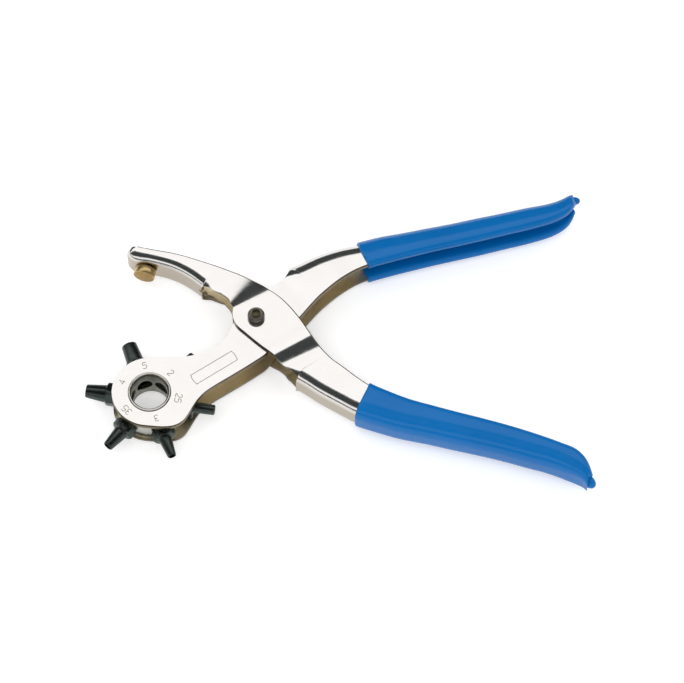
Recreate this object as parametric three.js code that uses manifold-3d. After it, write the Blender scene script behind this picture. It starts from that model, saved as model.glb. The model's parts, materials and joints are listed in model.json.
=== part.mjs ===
// Rotary hole punch: pressed-steel revolving punch pliers with six screw-in punches.
//
// Frame, in millimetres: the pliers lie flat. +Z is the pivot axis, +X runs from the pivot to the
// handles, +Y to the side of the anvil jaw. The origin is on the pivot axis, at the flat back face
// of the pivot rivet. The jaws are open, as the opening spring leaves them.
import * as THREE from "three";
import Module from "manifold-3d";

const wasm = await Module();
wasm.setup();

// ---------------------------------------------------------------- driving dimensions

const SHEET = 1.8;              // thickness of the pressed sheet steel
const RUN = 0.08;               // radial clearance of a running fit
const GAP = 0.15;               // clearance between faces that slide on each other

// half widths over the cheeks, measured from the middle plane
const HEAD_HALF = 8.05;         // wheel arm, round head to pivot
const GRIP_HALF = 7.9;          // wheel arm, handle
const LAP_HALF = HEAD_HALF + GAP + SHEET;   // anvil arm, where it laps the wheel arm
const JAW_HALF = 8.3;           // anvil arm, jaw
const TAIL_HALF = 8.2;          // anvil arm, handle

// pivot rivet
const RIVET_R = 3.1;
const RIVET_HEAD_R = 3.8;
const RIVET_HEAD_H = 3.7;
const RIVET_BACK_R = 5.6;
const RIVET_BACK_H = 2.0;
const RIVET_DISH_R = 1.8;
const RIVET_DISH_DEPTH = 1.3;
const MID = LAP_HALF + RIVET_BACK_H + 0.05; // height of the middle plane above the back face

// distance piece between the wheel arm's cheeks, and the spring wound round it
const SLEEVE_R = 5.0;
const SLEEVE_HALF = HEAD_HALF - SHEET - 0.1;
const WIRE_R = 0.7;
const COIL_R = SLEEVE_R + WIRE_R + 0.3;
const COIL_TURNS = 3.75;
const COIL_PITCH = 1.7;
const COIL_START_DEG = 46;
const LEG_ENDS = { anvilArm: [17.2, -8.2], wheelArm: [24.2, 25.9] };

// turret
const WHEEL = new THREE.Vector2(-46.3, -35.5);
const WHEEL_R = 15.0;
const WHEEL_FRONT = HEAD_HALF - SHEET - 0.2;
const WHEEL_BACK = -5.3;
const HUB_R = 9.3;
const HUB_BORE_R = 8.1;
const HUB_HALF = 8.85;
const FIRST_PUNCH_DEG = 110.6;  // direction of the punch that stands under the anvil
const STATION_DEG = 60;
const PUNCH_TIP = 28.7;         // distance of every cutting edge from the wheel's axis
const PUNCH_DROP = 0.8;         // the punches stand this much behind the middle plane
const COLLAR_IN = 15.25;        // the hex collar sits on the wheel's rim
const COLLAR_OUT = 19.6;
const COLLAR_CORNER_R = 5.35;
const SHANK_R = 3.3;
const SHANK_IN = 9.7;
const HUB_HOLE_R = SHANK_R + 0.3;
const NOTCH = { along: 3.0, across: 4.2, deep: 2.2 };    // in the wheel's back rim

// spring washer behind the wheel: its nib clicks into the wheel's dimples
const DIMPLE_R = 12.0;          // distance of dimples, nib and key pin from the wheel's axis
const WASHER_R = 13.6;
const WASHER_LOW = -(HEAD_HALF - SHEET) + 0.05;
const WASHER_HIGH = WASHER_LOW + 0.5;
const NIB_R = 1.0;
const NIB_H = 0.8;
const KEY_PIN_R = 0.9;
const NIB_DEG = FIRST_PUNCH_DEG - STATION_DEG - STATION_DEG / 2;
const KEY_DEG = NIB_DEG + 180;

// station by station: hole size, outside radius of the tube at the collar and at the cutting
// edge, and turn of the hex collar about the tube
const PUNCHES = [
  { name: "punch_5mm", bore: 5.0, root: 3.8, edge: 3.3, turn: 8 },
  { name: "punch_4mm", bore: 4.0, root: 3.85, edge: 2.85, turn: 20 },
  { name: "punch_3_5mm", bore: 3.5, root: 3.2, edge: 2.15, turn: -14 },
  { name: "punch_3mm", bore: 3.0, root: 2.85, edge: 1.8, turn: 2 },
  { name: "punch_2_5mm", bore: 2.5, root: 2.5, edge: 2.15, turn: 26 },
  { name: "punch_2mm", bore: 2.0, root: 2.3, edge: 1.5, turn: 12 },
];

// anvil: it meets the first punch squarely when the jaw has closed by CLOSE_DEG
const CLOSE_DEG = 34.7;
const ANVIL_R = 4.8;
const ANVIL_H = 4.1;
const ANVIL_SHANK_R = 2.0;      // riveted over inside the jaw
const ANVIL_UPSET_R = 3.0;
const ANVIL_UPSET_H = 1.15;
const ANVIL_ASIDE = 0.6;        // the anvil's axis passes this far beside the punch
const BITE = 0.2;               // gap left between anvil and cutting edge at the closed stop

// dipped grips
const COAT = 1.3;
const EDGE_COAT = 0.95;         // on the cheeks' free edges
const SEAT = 0.3;               // clearance round the steel inside the coating
const SEAT_END = 0.12;          // the same at the steel's end, in rows of the arm's table

// facets
const FINE_SIDES = 40;          // wheel, hub and washer
const SIDES = 32;               // rivet, sleeve and anvil
const SMALL_SIDES = 20;         // punches and their holes
const TINY_SIDES = 12;
const STATION_SPACING = 5.5;    // longest step along an arm

// ---------------------------------------------------------------- the two pressed arms
// An arm is a channel: two cheeks joined by a web round two bends. Each station gives the cheek's
// free edge, the line where the cheek's flat ends, the outward direction of the web in degrees,
// the half width over the cheeks, the outside radius of the bend, and how much of the band from
// the flat to the middle of the web is there: 0 where the cheeks stand alone, 1 where it closes.
// The back cheek's edge may be cut back by `lift`; the grip's coating starts at `coated`.

const ANVIL_ARM = [
  // nose, wrapped round by the web
  { free: [-53.0, 36.3], flat: [-53.4, 35.9], out: 172, half: JAW_HALF, bend: 3.6, band: 1 },
  { free: [-52.8, 36.2], flat: [-53.4, 35.3], out: 184, half: JAW_HALF, bend: 4.6, band: 1 },
  { free: [-52.2, 36.0], flat: [-53.2, 34.7], out: 202, half: JAW_HALF, bend: 5.0, band: 1 },
  { free: [-51.0, 35.7], flat: [-52.5, 34.1], out: 228, half: JAW_HALF, bend: 4.8, band: 1 },
  { free: [-49.3, 35.4], flat: [-50.8, 33.6], out: 250, half: JAW_HALF, bend: 4.4, band: 1 },
  { free: [-47.0, 34.9], flat: [-47.9, 32.9], out: 256, half: JAW_HALF, bend: 3.9, band: 1 },
  // jaw
  { free: [-42.9, 34.1], flat: [-44.0, 31.9], out: 255, half: JAW_HALF, bend: 3.8, band: 1 },
  { free: [-37.2, 32.9], flat: [-38.7, 30.4], out: 250, half: JAW_HALF, bend: 3.9, band: 1 },
  { free: [-31.2, 31.2], flat: [-33.8, 28.5], out: 242, half: JAW_HALF, bend: 4.1, band: 1 },
  { free: [-24.0, 28.7], flat: [-27.5, 24.9], out: 235, half: JAW_HALF, bend: 4.3, band: 1 },
  { free: [-19.0, 26.9], flat: [-23.2, 21.6], out: 231, half: JAW_HALF, bend: 4.4, band: 1 },
  { free: [-17.2, 26.2], flat: [-21.7, 20.2], out: 230, half: JAW_HALF, bend: 4.4, band: 1 },
  // web cut away for the other arm
  { free: [-17.1, 26.15], flat: [-21.9, 19.7], out: 230, half: JAW_HALF, bend: 4.4, band: 0.42 },
  { free: [-16.6, 26.0], flat: [-21.2, 18.8], out: 229, half: JAW_HALF, bend: 4.5, band: 0.3,
    lift: 0.6 },
  { free: [-15.6, 25.6], flat: [-20.1, 17.6], out: 229, half: JAW_HALF, bend: 4.7, band: 0.2,
    lift: 1.4 },
  { free: [-13.4, 24.7], flat: [-18.3, 15.0], out: 229, half: JAW_HALF, bend: 5.0, band: 0.1,
    lift: 2.4 },
  { free: [-10.8, 23.6], flat: [-15.6, 12.7], out: 230, half: JAW_HALF, bend: 5.0, band: 0,
    lift: 2.6 },
  { free: [-7.1, 22.0], flat: [-12.2, 9.9], out: 225, half: JAW_HALF, bend: 4.5, band: 0,
    lift: 1.4 },
  // stepped outwards over the wheel arm
  { free: [-0.9, 18.5], flat: [-11.3, 7.4], out: 208, half: 8.75, bend: 4.0, band: 0, lift: 0.5 },
  { free: [3.0, 15.9], flat: [-10.7, 5.9], out: 197, half: 9.6, bend: 4.0, band: 0 },
  { free: [6.0, 13.6], flat: [-10.3, 4.7], out: 190, half: LAP_HALF, bend: 4.0, band: 0 },
  { free: [9.2, 11.3], flat: [-10.4, 1.2], out: 185, half: LAP_HALF, bend: 4.0, band: 0 },
  { free: [12.2, 8.6], flat: [-9.0, -3.0], out: 200, half: LAP_HALF, bend: 4.0, band: 0 },
  { free: [15.4, 5.0], flat: [-4.4, -7.6], out: 225, half: LAP_HALF, bend: 4.0, band: 0 },
  { free: [19.6, -0.6], flat: [2.0, -13.3], out: 228, half: LAP_HALF, bend: 4.0, band: 0, lift: 1 },
  { free: [24.4, -8.2], flat: [7.9, -18.1], out: 231, half: LAP_HALF, bend: 4.6, band: 0,
    lift: 2.4 },
  { free: [25.7, -10.0], flat: [9.0, -19.4], out: 231, half: 9.45, bend: 5.0, band: 0,
    lift: 2.6 },
  { free: [27.3, -12.0], flat: [10.6, -20.8], out: 233, half: 8.6, bend: 5.4, band: 0.01,
    lift: 2.4 },
  { free: [28.6, -13.7], flat: [12.1, -22.1], out: 234, half: TAIL_HALF, bend: 5.4, band: 0.03,
    lift: 1.9 },
  { free: [29.8, -15.2], flat: [15.5, -23.1], out: 236, half: TAIL_HALF, bend: 5.4, band: 0.11,
    lift: 1.0 },
  { free: [30.8, -16.3], flat: [18.5, -24.3], out: 237, half: TAIL_HALF, bend: 5.4, band: 0.21,
    lift: 0.4 },
  { free: [31.6, -17.2], flat: [20.3, -24.8], out: 237, half: TAIL_HALF, bend: 5.4, band: 0.29,
    lift: 0.1 },
  // web of the handle
  { free: [31.7, -17.3], flat: [20.5, -24.5], out: 237, half: TAIL_HALF, bend: 5.4, band: 1 },
  { free: [33.4, -19.1], flat: [23.7, -26.2], out: 237, half: TAIL_HALF, bend: 5.4, band: 1 },
  { free: [38.1, -22.8], flat: [30.3, -30.8], out: 237, half: TAIL_HALF, bend: 5.4, band: 1 },
  { free: [44.4, -28.0], flat: [39.3, -36.2], out: 238, half: TAIL_HALF, bend: 5.4, band: 1 },
  { free: [49.8, -31.9], flat: [46.0, -39.9], out: 244, half: TAIL_HALF, bend: 5.5, band: 1,
    coated: true },
  { free: [57.4, -35.6], flat: [54.4, -42.7], out: 250, half: TAIL_HALF, bend: 5.7, band: 1 },
  { free: [66.7, -39.5], flat: [65.1, -45.9], out: 254, half: TAIL_HALF, bend: 5.8, band: 1 },
  { free: [77.1, -42.7], flat: [75.8, -48.1], out: 256, half: TAIL_HALF, bend: 6.0, band: 1 },
  { free: [88.1, -45.9], flat: [86.8, -50.8], out: 256, half: TAIL_HALF, bend: 6.0, band: 1 },
  { free: [98.9, -48.9], flat: [97.8, -53.4], out: 256, half: TAIL_HALF, bend: 6.0, band: 1 },
  { free: [110.0, -52.2], flat: [108.8, -56.2], out: 254, half: TAIL_HALF, bend: 6.0, band: 1 },
  { free: [121.2, -56.0], flat: [119.8, -59.5], out: 253, half: TAIL_HALF, bend: 6.0, band: 1 },
  { free: [132.0, -60.2], flat: [130.9, -62.9], out: 251, half: TAIL_HALF, bend: 6.0, band: 1 },
];
const ANVIL_ARM_TAIL = [
  // only the dipped coating reaches these
  { free: [138.9, -63.2], flat: [137.2, -66.5], out: 250, half: 7.8, bend: 4.8, band: 1 },
  { free: [142.7, -66.9], flat: [141.0, -69.2], out: 250, half: 7.2, bend: 3.7, band: 1 },
  { free: [144.6, -70.6], flat: [143.5, -71.5], out: 252, half: 6.2, bend: 3.0, band: 1 },
  { free: [145.7, -73.8], flat: [144.9, -74.2], out: 258, half: 4.5, bend: 2.5, band: 1 },
];
// drops of coating left at the tips: place, heading in degrees and radius
const ANVIL_DRIP = { x: 145.2, y: -75.0, heading: -45, r: 2.6 };
const ANVIL_GRIP_FROM = ANVIL_ARM.findIndex((row) => row.coated);

const WHEEL_ARM_NECK = [
  { free: [-39.6, -52.6], flat: [-39.5, -18.8], out: 90, half: HEAD_HALF, bend: 3.6, band: 0 },
  { free: [-35.0, -51.9], flat: [-33.2, -18.6], out: 92, half: HEAD_HALF, bend: 3.6, band: 0 },
  { free: [-31.6, -49.8], flat: [-28.2, -17.8], out: 100, half: HEAD_HALF, bend: 3.6, band: 0 },
  { free: [-29.3, -46.4], flat: [-24.4, -16.7], out: 106, half: HEAD_HALF, bend: 3.6, band: 0 },
  { free: [-27.3, -42.6], flat: [-21.4, -15.5], out: 112, half: HEAD_HALF, bend: 3.6, band: 0 },
  { free: [-25.2, -39.2], flat: [-18.9, -14.2], out: 118, half: HEAD_HALF, bend: 3.6, band: 0 },
  { free: [-22.4, -36.1], flat: [-16.6, -12.5], out: 124, half: HEAD_HALF, bend: 3.6, band: 0 },
  { free: [-18.0, -32.8], flat: [-13.6, -9.5], out: 135, half: HEAD_HALF, bend: 3.6, band: 0 },
  { free: [-12.0, -28.9], flat: [-11.5, -5.9], out: 150, half: HEAD_HALF, bend: 3.6, band: 0 },
  { free: [-5.9, -24.9], flat: [-10.0, -2.2], out: 160, half: HEAD_HALF, bend: 3.6, band: 0 },
  { free: [-0.4, -21.1], flat: [-9.0, 0.8], out: 160, half: HEAD_HALF, bend: 3.6, band: 0 },
  { free: [4.2, -17.6], flat: [-7.2, 3.6], out: 140, half: HEAD_HALF, bend: 3.6, band: 0 },
  { free: [7.0, -13.9], flat: [-3.8, 6.3], out: 128, half: HEAD_HALF, bend: 3.6, band: 0 },
  { free: [10.3, -9.6], flat: [0.6, 9.3], out: 126, half: HEAD_HALF, bend: 3.6, band: 0 },
  { free: [14.0, -5.4], flat: [5.0, 13.0], out: 128, half: HEAD_HALF, bend: 3.6, band: 0 },
  { free: [18.1, -0.8], flat: [8.5, 17.1], out: 130, half: HEAD_HALF, bend: 3.6, band: 0 },
  { free: [22.6, 4.9], flat: [12.2, 20.1], out: 128, half: 7.9, bend: 4.4, band: 0 },
  { free: [25.2, 8.1], flat: [15.7, 21.3], out: 127, half: 8.0, bend: 6.4, band: 0.25 },
  { free: [27.2, 10.5], flat: [18.0, 22.0], out: 126, half: 8.0, bend: 7.4, band: 0.55 },
  { free: [28.5, 11.9], flat: [19.6, 22.0], out: 126, half: 8.0, bend: 7.7, band: 0.9 },
  // web of the handle
  { free: [28.6, 12.0], flat: [19.5, 22.1], out: 126, half: 8.0, bend: 7.7, band: 1 },
  { free: [31.4, 14.7], flat: [22.6, 23.7], out: 124, half: 8.0, bend: 7.7, band: 1 },
  { free: [37.0, 19.6], flat: [30.2, 27.6], out: 115, half: 8.0, bend: 7.6, band: 1 },
  { free: [43.5, 24.0], flat: [38.6, 30.7], out: 109, half: 7.9, bend: 7.4, band: 1 },
  { free: [49.5, 26.8], flat: [46.3, 32.5], out: 106, half: 7.9, bend: 7.2, band: 1,
    coated: true },
  { free: [58.6, 29.7], flat: [56.4, 35.4], out: 104, half: GRIP_HALF, bend: 7.0, band: 1 },
  { free: [67.0, 32.1], flat: [65.2, 37.2], out: 103, half: GRIP_HALF, bend: 6.9, band: 1 },
  { free: [78.0, 35.1], flat: [76.4, 39.7], out: 103, half: GRIP_HALF, bend: 6.8, band: 1 },
  { free: [88.8, 37.8], flat: [87.6, 42.1], out: 103, half: GRIP_HALF, bend: 6.7, band: 1 },
  { free: [100.0, 40.6], flat: [98.9, 44.9], out: 103, half: GRIP_HALF, bend: 6.6, band: 1 },
  { free: [111.0, 43.6], flat: [110.1, 47.5], out: 104, half: GRIP_HALF, bend: 6.5, band: 1 },
  { free: [122.3, 46.6], flat: [121.6, 50.4], out: 106, half: GRIP_HALF, bend: 6.4, band: 1 },
];
const WHEEL_ARM_TAIL = [
  { free: [133.2, 50.4], flat: [133.1, 53.3], out: 108, half: 7.7, bend: 6.0, band: 1 },
  { free: [138.5, 53.9], flat: [137.9, 55.9], out: 109, half: 7.3, bend: 5.2, band: 1 },
  { free: [141.2, 57.2], flat: [140.8, 58.8], out: 107, half: 6.7, bend: 3.9, band: 1 },
  { free: [142.4, 60.1], flat: [141.9, 60.7], out: 100, half: 5.1, bend: 3.0, band: 1 },
];
const WHEEL_DRIP = { x: 142.7, y: 63.3, heading: 5, r: 1.9 };
const HEAD_R = 16.6;
const HEAD_STEPS = 9;

// the wheel arm's round head: stations on both sides of the circle round the wheel's axis
function headStations() {
  const rows = [];
  for (let i = 0; i < HEAD_STEPS; i += 1) {
    const a = THREE.MathUtils.degToRad(THREE.MathUtils.lerp(2, 88, i / (HEAD_STEPS - 1)));
    const x = WHEEL.x - HEAD_R * Math.cos(a);
    const dy = HEAD_R * Math.sin(a);
    rows.push({
      free: [x, WHEEL.y - dy],
      flat: [x, WHEEL.y + dy],
      out: 90,
      half: HEAD_HALF,
      bend: 3.6,
      band: 0,
    });
  }
  return rows;
}
const WHEEL_ARM = [...headStations(), ...WHEEL_ARM_NECK];
const WHEEL_GRIP_FROM = WHEEL_ARM.findIndex((row) => row.coated);

// ---------------------------------------------------------------- mesh helpers

function geometryFrom(vertices, triangles) {
  const geometry = new THREE.BufferGeometry();
  geometry.setAttribute("position", new THREE.Float32BufferAttribute(vertices, 3));
  geometry.setIndex(triangles);
  return geometry;
}

// welds equal corners, drops collapsed triangles and turns the surface outwards
function weld(points, faces) {
  const seen = new Map();
  const vertices = [];
  const slot = points.map((p) => {
    const key = `${Math.round(p.x * 5000)},${Math.round(p.y * 5000)},${Math.round(p.z * 5000)}`;
    if (!seen.has(key)) {
      seen.set(key, vertices.length / 3);
      vertices.push(p.x, p.y, p.z);
    }
    return seen.get(key);
  });
  const triangles = [];
  let volume = 0;
  const corner = (i) => new THREE.Vector3(vertices[3 * i], vertices[3 * i + 1], vertices[3 * i + 2]);
  for (const face of faces) {
    const [a, b, c] = face.map((i) => slot[i]);
    if (a === b || b === c || c === a) continue;
    triangles.push(a, b, c);
    volume += corner(a).dot(corner(b).cross(corner(c)));
  }
  if (volume < 0) triangles.reverse();
  return geometryFrom(vertices, triangles);
}

function solid(geometry) {
  let source = geometry;
  if (source.index === null || source.getAttribute("normal") !== undefined) {
    const position = source.getAttribute("position");
    const index = source.index ? [...source.index.array] : [...Array(position.count).keys()];
    const points = [];
    for (let i = 0; i < position.count; i += 1) {
      points.push(new THREE.Vector3().fromBufferAttribute(position, i));
    }
    const faces = [];
    for (let i = 0; i < index.length; i += 3) faces.push(index.slice(i, i + 3));
    source = weld(points, faces);
  }
  return new wasm.Manifold(new wasm.Mesh({
    numProp: 3,
    vertProperties: new Float32Array(source.getAttribute("position").array),
    triVerts: new Uint32Array(source.index.array),
  }));
}

function geometryOf(manifold) {
  const mesh = manifold.getMesh();
  return geometryFrom([...mesh.vertProperties], [...mesh.triVerts]);
}

// a round body about +Z through (x, y): profile points are [radius, height]
function turned(profile, x, y, sides) {
  const points = profile.map(([r, z]) => new THREE.Vector2(r, z));
  const geometry = new THREE.LatheGeometry(points, sides);
  geometry.rotateX(Math.PI / 2);
  geometry.translate(x, y, 0);
  return geometry;
}

// a straight round bar from height low to height high
function bar(r, low, high, x, y, sides) {
  return turned([[0, low], [r, low], [r, high], [0, high]], x, y, sides);
}

// lays a body that was turned about +Z on its side, so that +Z points out from the wheel's axis
function onStation(geometry, degrees) {
  geometry.rotateZ(Math.PI / 2);
  geometry.rotateY(Math.PI / 2);
  geometry.rotateZ(THREE.MathUtils.degToRad(degrees));
  geometry.translate(WHEEL.x, WHEEL.y, MID - PUNCH_DROP);
  return geometry;
}

// ---------------------------------------------------------------- channels

// reads a table of stations anywhere between its rows
function stationReader(rows) {
  const path = (key) => new THREE.CatmullRomCurve3(
    rows.map((row) => new THREE.Vector3(row[key][0], row[key][1], row.half)), false, "centripetal",
  );
  const free = path("free");
  const flat = path("flat");
  const last = rows.length - 1;
  return (u) => {
    const i = Math.min(Math.floor(u), last - 1);
    const mix = (key) => THREE.MathUtils.lerp(rows[i][key], rows[i + 1][key], u - i);
    const out = THREE.MathUtils.degToRad(mix("out"));
    const freePoint = free.getPoint(u / last);
    const half = freePoint.z;
    return {
      free: freePoint.setZ(0),
      flat: flat.getPoint(u / last).setZ(0),
      out: new THREE.Vector3(Math.cos(out), Math.sin(out), 0),
      half,
      bend: mix("bend"),
      band: mix("band"),
      lift: THREE.MathUtils.lerp(rows[i].lift ?? 0, rows[i + 1].lift ?? 0, u - i),
    };
  };
}

// where to build along a table: at every row, and between rows that lie far apart
function stops(rows, from, to) {
  const places = [from];
  for (let i = Math.floor(from); i < to; i += 1) {
    const start = Math.max(i, from);
    const reach = Math.min(i + 1, to) - start;
    const length = new THREE.Vector2(...rows[i].free).distanceTo(
      new THREE.Vector2(...rows[i + 1].free),
    );
    const parts = Math.ceil((length * reach) / STATION_SPACING);
    for (let k = 1; k <= parts; k += 1) places.push(start + (reach * k) / parts);
  }
  return places;
}

const BAND_STEPS = 5;

// one station's points, free edge first, on the surface that lies `inset` under the steel's face;
// `edge` moves the free edge outwards
function halfSection(station, inset, edge, lift) {
  const { free, out, half, bend, band } = station;
  const across = station.flat.clone().sub(free).normalize();
  const flat = station.flat.clone().addScaledVector(across, -lift);
  const start = free.clone().addScaledVector(across, -edge);
  start.z = half - inset;
  const points = [start];
  const arc = (bend * Math.PI) / 2;
  const length = band * (arc + half - bend);
  for (let k = 0; k <= BAND_STEPS; k += 1) {
    const l = (length * k) / BAND_STEPS;
    const turn = Math.min(l, arc) / bend;
    const r = bend - inset;
    const p = flat.clone().addScaledVector(out, r * Math.sin(turn));
    p.z = half - bend + r * Math.cos(turn) - Math.max(0, l - arc);
    points.push(p);
  }
  return points;
}

// a closed channel between two places in a table, from the surface `outer` under the steel's
// face to the surface `inner` under it
function channel(rows, from, to, outer, inner, edge) {
  const points = [];
  const faces = [];
  const across = BAND_STEPS + 2;
  const stations = stops(rows, from, to).map(stationReader(rows));
  const steps = stations.length - 1;
  for (const station of stations) {
    for (const side of [1, -1]) {
      for (const inset of [outer, inner]) {
        for (const p of halfSection(station, inset, edge, side > 0 ? 0 : station.lift)) {
          points.push(new THREE.Vector3(p.x, p.y, MID + side * p.z));
        }
      }
    }
  }
  const at = (i, side, layer, j) => ((i * 2 + side) * 2 + layer) * across + j;
  const quad = (a, b, c, d, flip) => {
    if (flip) faces.push([a, c, b], [a, d, c]);
    else faces.push([a, b, c], [a, c, d]);
  };
  for (const side of [0, 1]) {
    const mirrored = side === 1;
    for (let i = 0; i < steps; i += 1) {
      for (let j = 0; j < across - 1; j += 1) {
        quad(at(i, side, 0, j), at(i + 1, side, 0, j), at(i + 1, side, 0, j + 1),
          at(i, side, 0, j + 1), mirrored);
        quad(at(i, side, 1, j), at(i + 1, side, 1, j), at(i + 1, side, 1, j + 1),
          at(i, side, 1, j + 1), !mirrored);
      }
      quad(at(i, side, 0, 0), at(i + 1, side, 0, 0), at(i + 1, side, 1, 0),
        at(i, side, 1, 0), !mirrored);
      if (stations[i].band < 1 || stations[i + 1].band < 1) {
        const j = across - 1;
        quad(at(i, side, 0, j), at(i + 1, side, 0, j), at(i + 1, side, 1, j),
          at(i, side, 1, j), mirrored);
      }
    }
    for (let j = 0; j < across - 1; j += 1) {
      quad(at(0, side, 0, j), at(0, side, 0, j + 1), at(0, side, 1, j + 1),
        at(0, side, 1, j), mirrored);
      quad(at(steps, side, 0, j), at(steps, side, 0, j + 1), at(steps, side, 1, j + 1),
        at(steps, side, 1, j), !mirrored);
    }
  }
  return weld(points, faces);
}

// ---------------------------------------------------------------- the pieces

const ANVIL_SIDE = [...ANVIL_ARM, ...ANVIL_ARM_TAIL];
const WHEEL_SIDE = [...WHEEL_ARM, ...WHEEL_ARM_TAIL];

const closing = THREE.MathUtils.degToRad(CLOSE_DEG);
const punchDirection = THREE.MathUtils.degToRad(FIRST_PUNCH_DEG);
const anvilFaceClosed = new THREE.Vector2(
  WHEEL.x + (PUNCH_TIP + BITE) * Math.cos(punchDirection),
  WHEEL.y + (PUNCH_TIP + BITE) * Math.sin(punchDirection),
);
const anvilUp = punchDirection - closing;      // from the anvil's face into the jaw
const anvilFace = anvilFaceClosed.clone().rotateAround(new THREE.Vector2(0, 0), -closing).add(
  new THREE.Vector2(ANVIL_ASIDE * Math.sin(anvilUp), -ANVIL_ASIDE * Math.cos(anvilUp)),
);

// turned about the anvil's axis: heights are measured from its working face into the jaw
function onAnvil(geometry) {
  geometry.rotateZ(Math.PI / 2);
  geometry.rotateY(Math.PI / 2);
  geometry.rotateZ(anvilUp);
  geometry.translate(anvilFace.x, anvilFace.y, MID);
  return geometry;
}

function pivotHole() {
  return solid(bar(RIVET_R + RUN, -1, 2 * MID, 0, 0, SIDES));
}

function anvilArm() {
  const holeR = ANVIL_SHANK_R + 0.1;
  const roomR = ANVIL_UPSET_R + 0.6;
  const seat = turned([
    [0, 0],
    [ANVIL_R + GAP, 0],
    [ANVIL_R + GAP, ANVIL_H],
    [holeR, ANVIL_H],
    [holeR, ANVIL_H + SHEET],
    [roomR, ANVIL_H + SHEET],
    [roomR, ANVIL_H + SHEET + 4],
    [0, ANVIL_H + SHEET + 4],
  ], 0, 0, SIDES);
  const body = solid(channel(ANVIL_SIDE, 0, ANVIL_ARM.length - 1, 0, SHEET, 0));
  return geometryOf(body.subtract(pivotHole()).subtract(solid(onAnvil(seat))));
}

function wheelArm() {
  const hubHole = bar(HUB_R + 0.2, -1, 2 * MID, WHEEL.x, WHEEL.y, FINE_SIDES);
  const body = solid(channel(WHEEL_SIDE, 0, WHEEL_ARM.length - 1, 0, SHEET, 0));
  return geometryOf(
    body.subtract(pivotHole()).subtract(solid(hubHole)).subtract(solid(keyPinBar(0.1))),
  );
}

// the coating: a thicker channel with the steel's own shape, and room, taken out of it
function grip(rows, from, steelEnd, drip) {
  const skin = channel(rows, from, rows.length - 1, -COAT, SHEET + COAT, EDGE_COAT);
  const room = channel(rows, from - 1, steelEnd + SEAT_END, -SEAT, SHEET + SEAT, SEAT);
  const nub = turned([
    [0, -drip.r - 0.7],
    [drip.r - 0.2, -drip.r - 0.3],
    [drip.r, 0],
    [drip.r - 0.4, drip.r - 0.4],
    [drip.r - 1.1, drip.r + 0.3],
    [0, drip.r + 0.5],
  ], 0, 0, TINY_SIDES);
  nub.rotateY(Math.PI / 2);
  nub.rotateZ(THREE.MathUtils.degToRad(drip.heading));
  nub.translate(drip.x, drip.y, MID);
  return geometryOf(solid(skin).subtract(solid(room)).add(solid(nub)));
}

function hubTube() {
  const z = (h) => MID + h;
  const profile = [
    [HUB_BORE_R, z(-HUB_HALF + 0.7)],
    [HUB_BORE_R + 0.6, z(-HUB_HALF)],
    [HUB_R - 0.3, z(-HUB_HALF)],
    [HUB_R, z(-HUB_HALF + 0.3)],
    [HUB_R, z(HUB_HALF - 0.3)],
    [HUB_R - 0.3, z(HUB_HALF)],
    [HUB_BORE_R + 0.6, z(HUB_HALF)],
    [HUB_BORE_R, z(HUB_HALF - 0.7)],
    [HUB_BORE_R, z(-HUB_HALF + 0.7)],
  ];
  let body = solid(turned(profile, WHEEL.x, WHEEL.y, FINE_SIDES));
  for (let k = 0; k < PUNCHES.length; k += 1) {
    const hole = bar(HUB_HOLE_R, HUB_BORE_R / 2, HUB_R + 2, 0, 0, SMALL_SIDES);
    body = body.subtract(solid(onStation(hole, FIRST_PUNCH_DEG + k * STATION_DEG)));
  }
  return geometryOf(body);
}

function turretWheel() {
  const profile = [
    [HUB_R + 0.1, MID + WHEEL_BACK],
    [WHEEL_R - 0.4, MID + WHEEL_BACK],
    [WHEEL_R, MID + WHEEL_BACK + 0.4],
    [WHEEL_R, MID + WHEEL_FRONT - 0.4],
    [WHEEL_R - 0.4, MID + WHEEL_FRONT],
    [HUB_R + 0.1, MID + WHEEL_FRONT],
    [HUB_R + 0.1, MID + WHEEL_BACK],
  ];
  let body = solid(turned(profile, WHEEL.x, WHEEL.y, FINE_SIDES));
  for (let k = 0; k < PUNCHES.length; k += 1) {
    const angle = FIRST_PUNCH_DEG + k * STATION_DEG;
    const socket = bar(SHANK_R + 0.15, HUB_BORE_R, WHEEL_R + 2, 0, 0, SMALL_SIDES);
    body = body.subtract(solid(onStation(socket, angle)));
    const between = THREE.MathUtils.degToRad(angle + STATION_DEG / 2);
    const x = WHEEL.x + DIMPLE_R * Math.cos(between);
    const y = WHEEL.y + DIMPLE_R * Math.sin(between);
    const back = MID + WHEEL_BACK;
    body = body.subtract(solid(bar(NIB_R + 0.3, back - 1, back + 1, x, y, TINY_SIDES)));
    const notch = new THREE.BoxGeometry(NOTCH.along, NOTCH.across, NOTCH.deep);
    notch.translate(WHEEL_R, 0, WHEEL_BACK);
    notch.rotateZ(between);
    notch.translate(WHEEL.x, WHEEL.y, MID);
    body = body.subtract(solid(notch));
  }
  return geometryOf(body);
}

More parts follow.
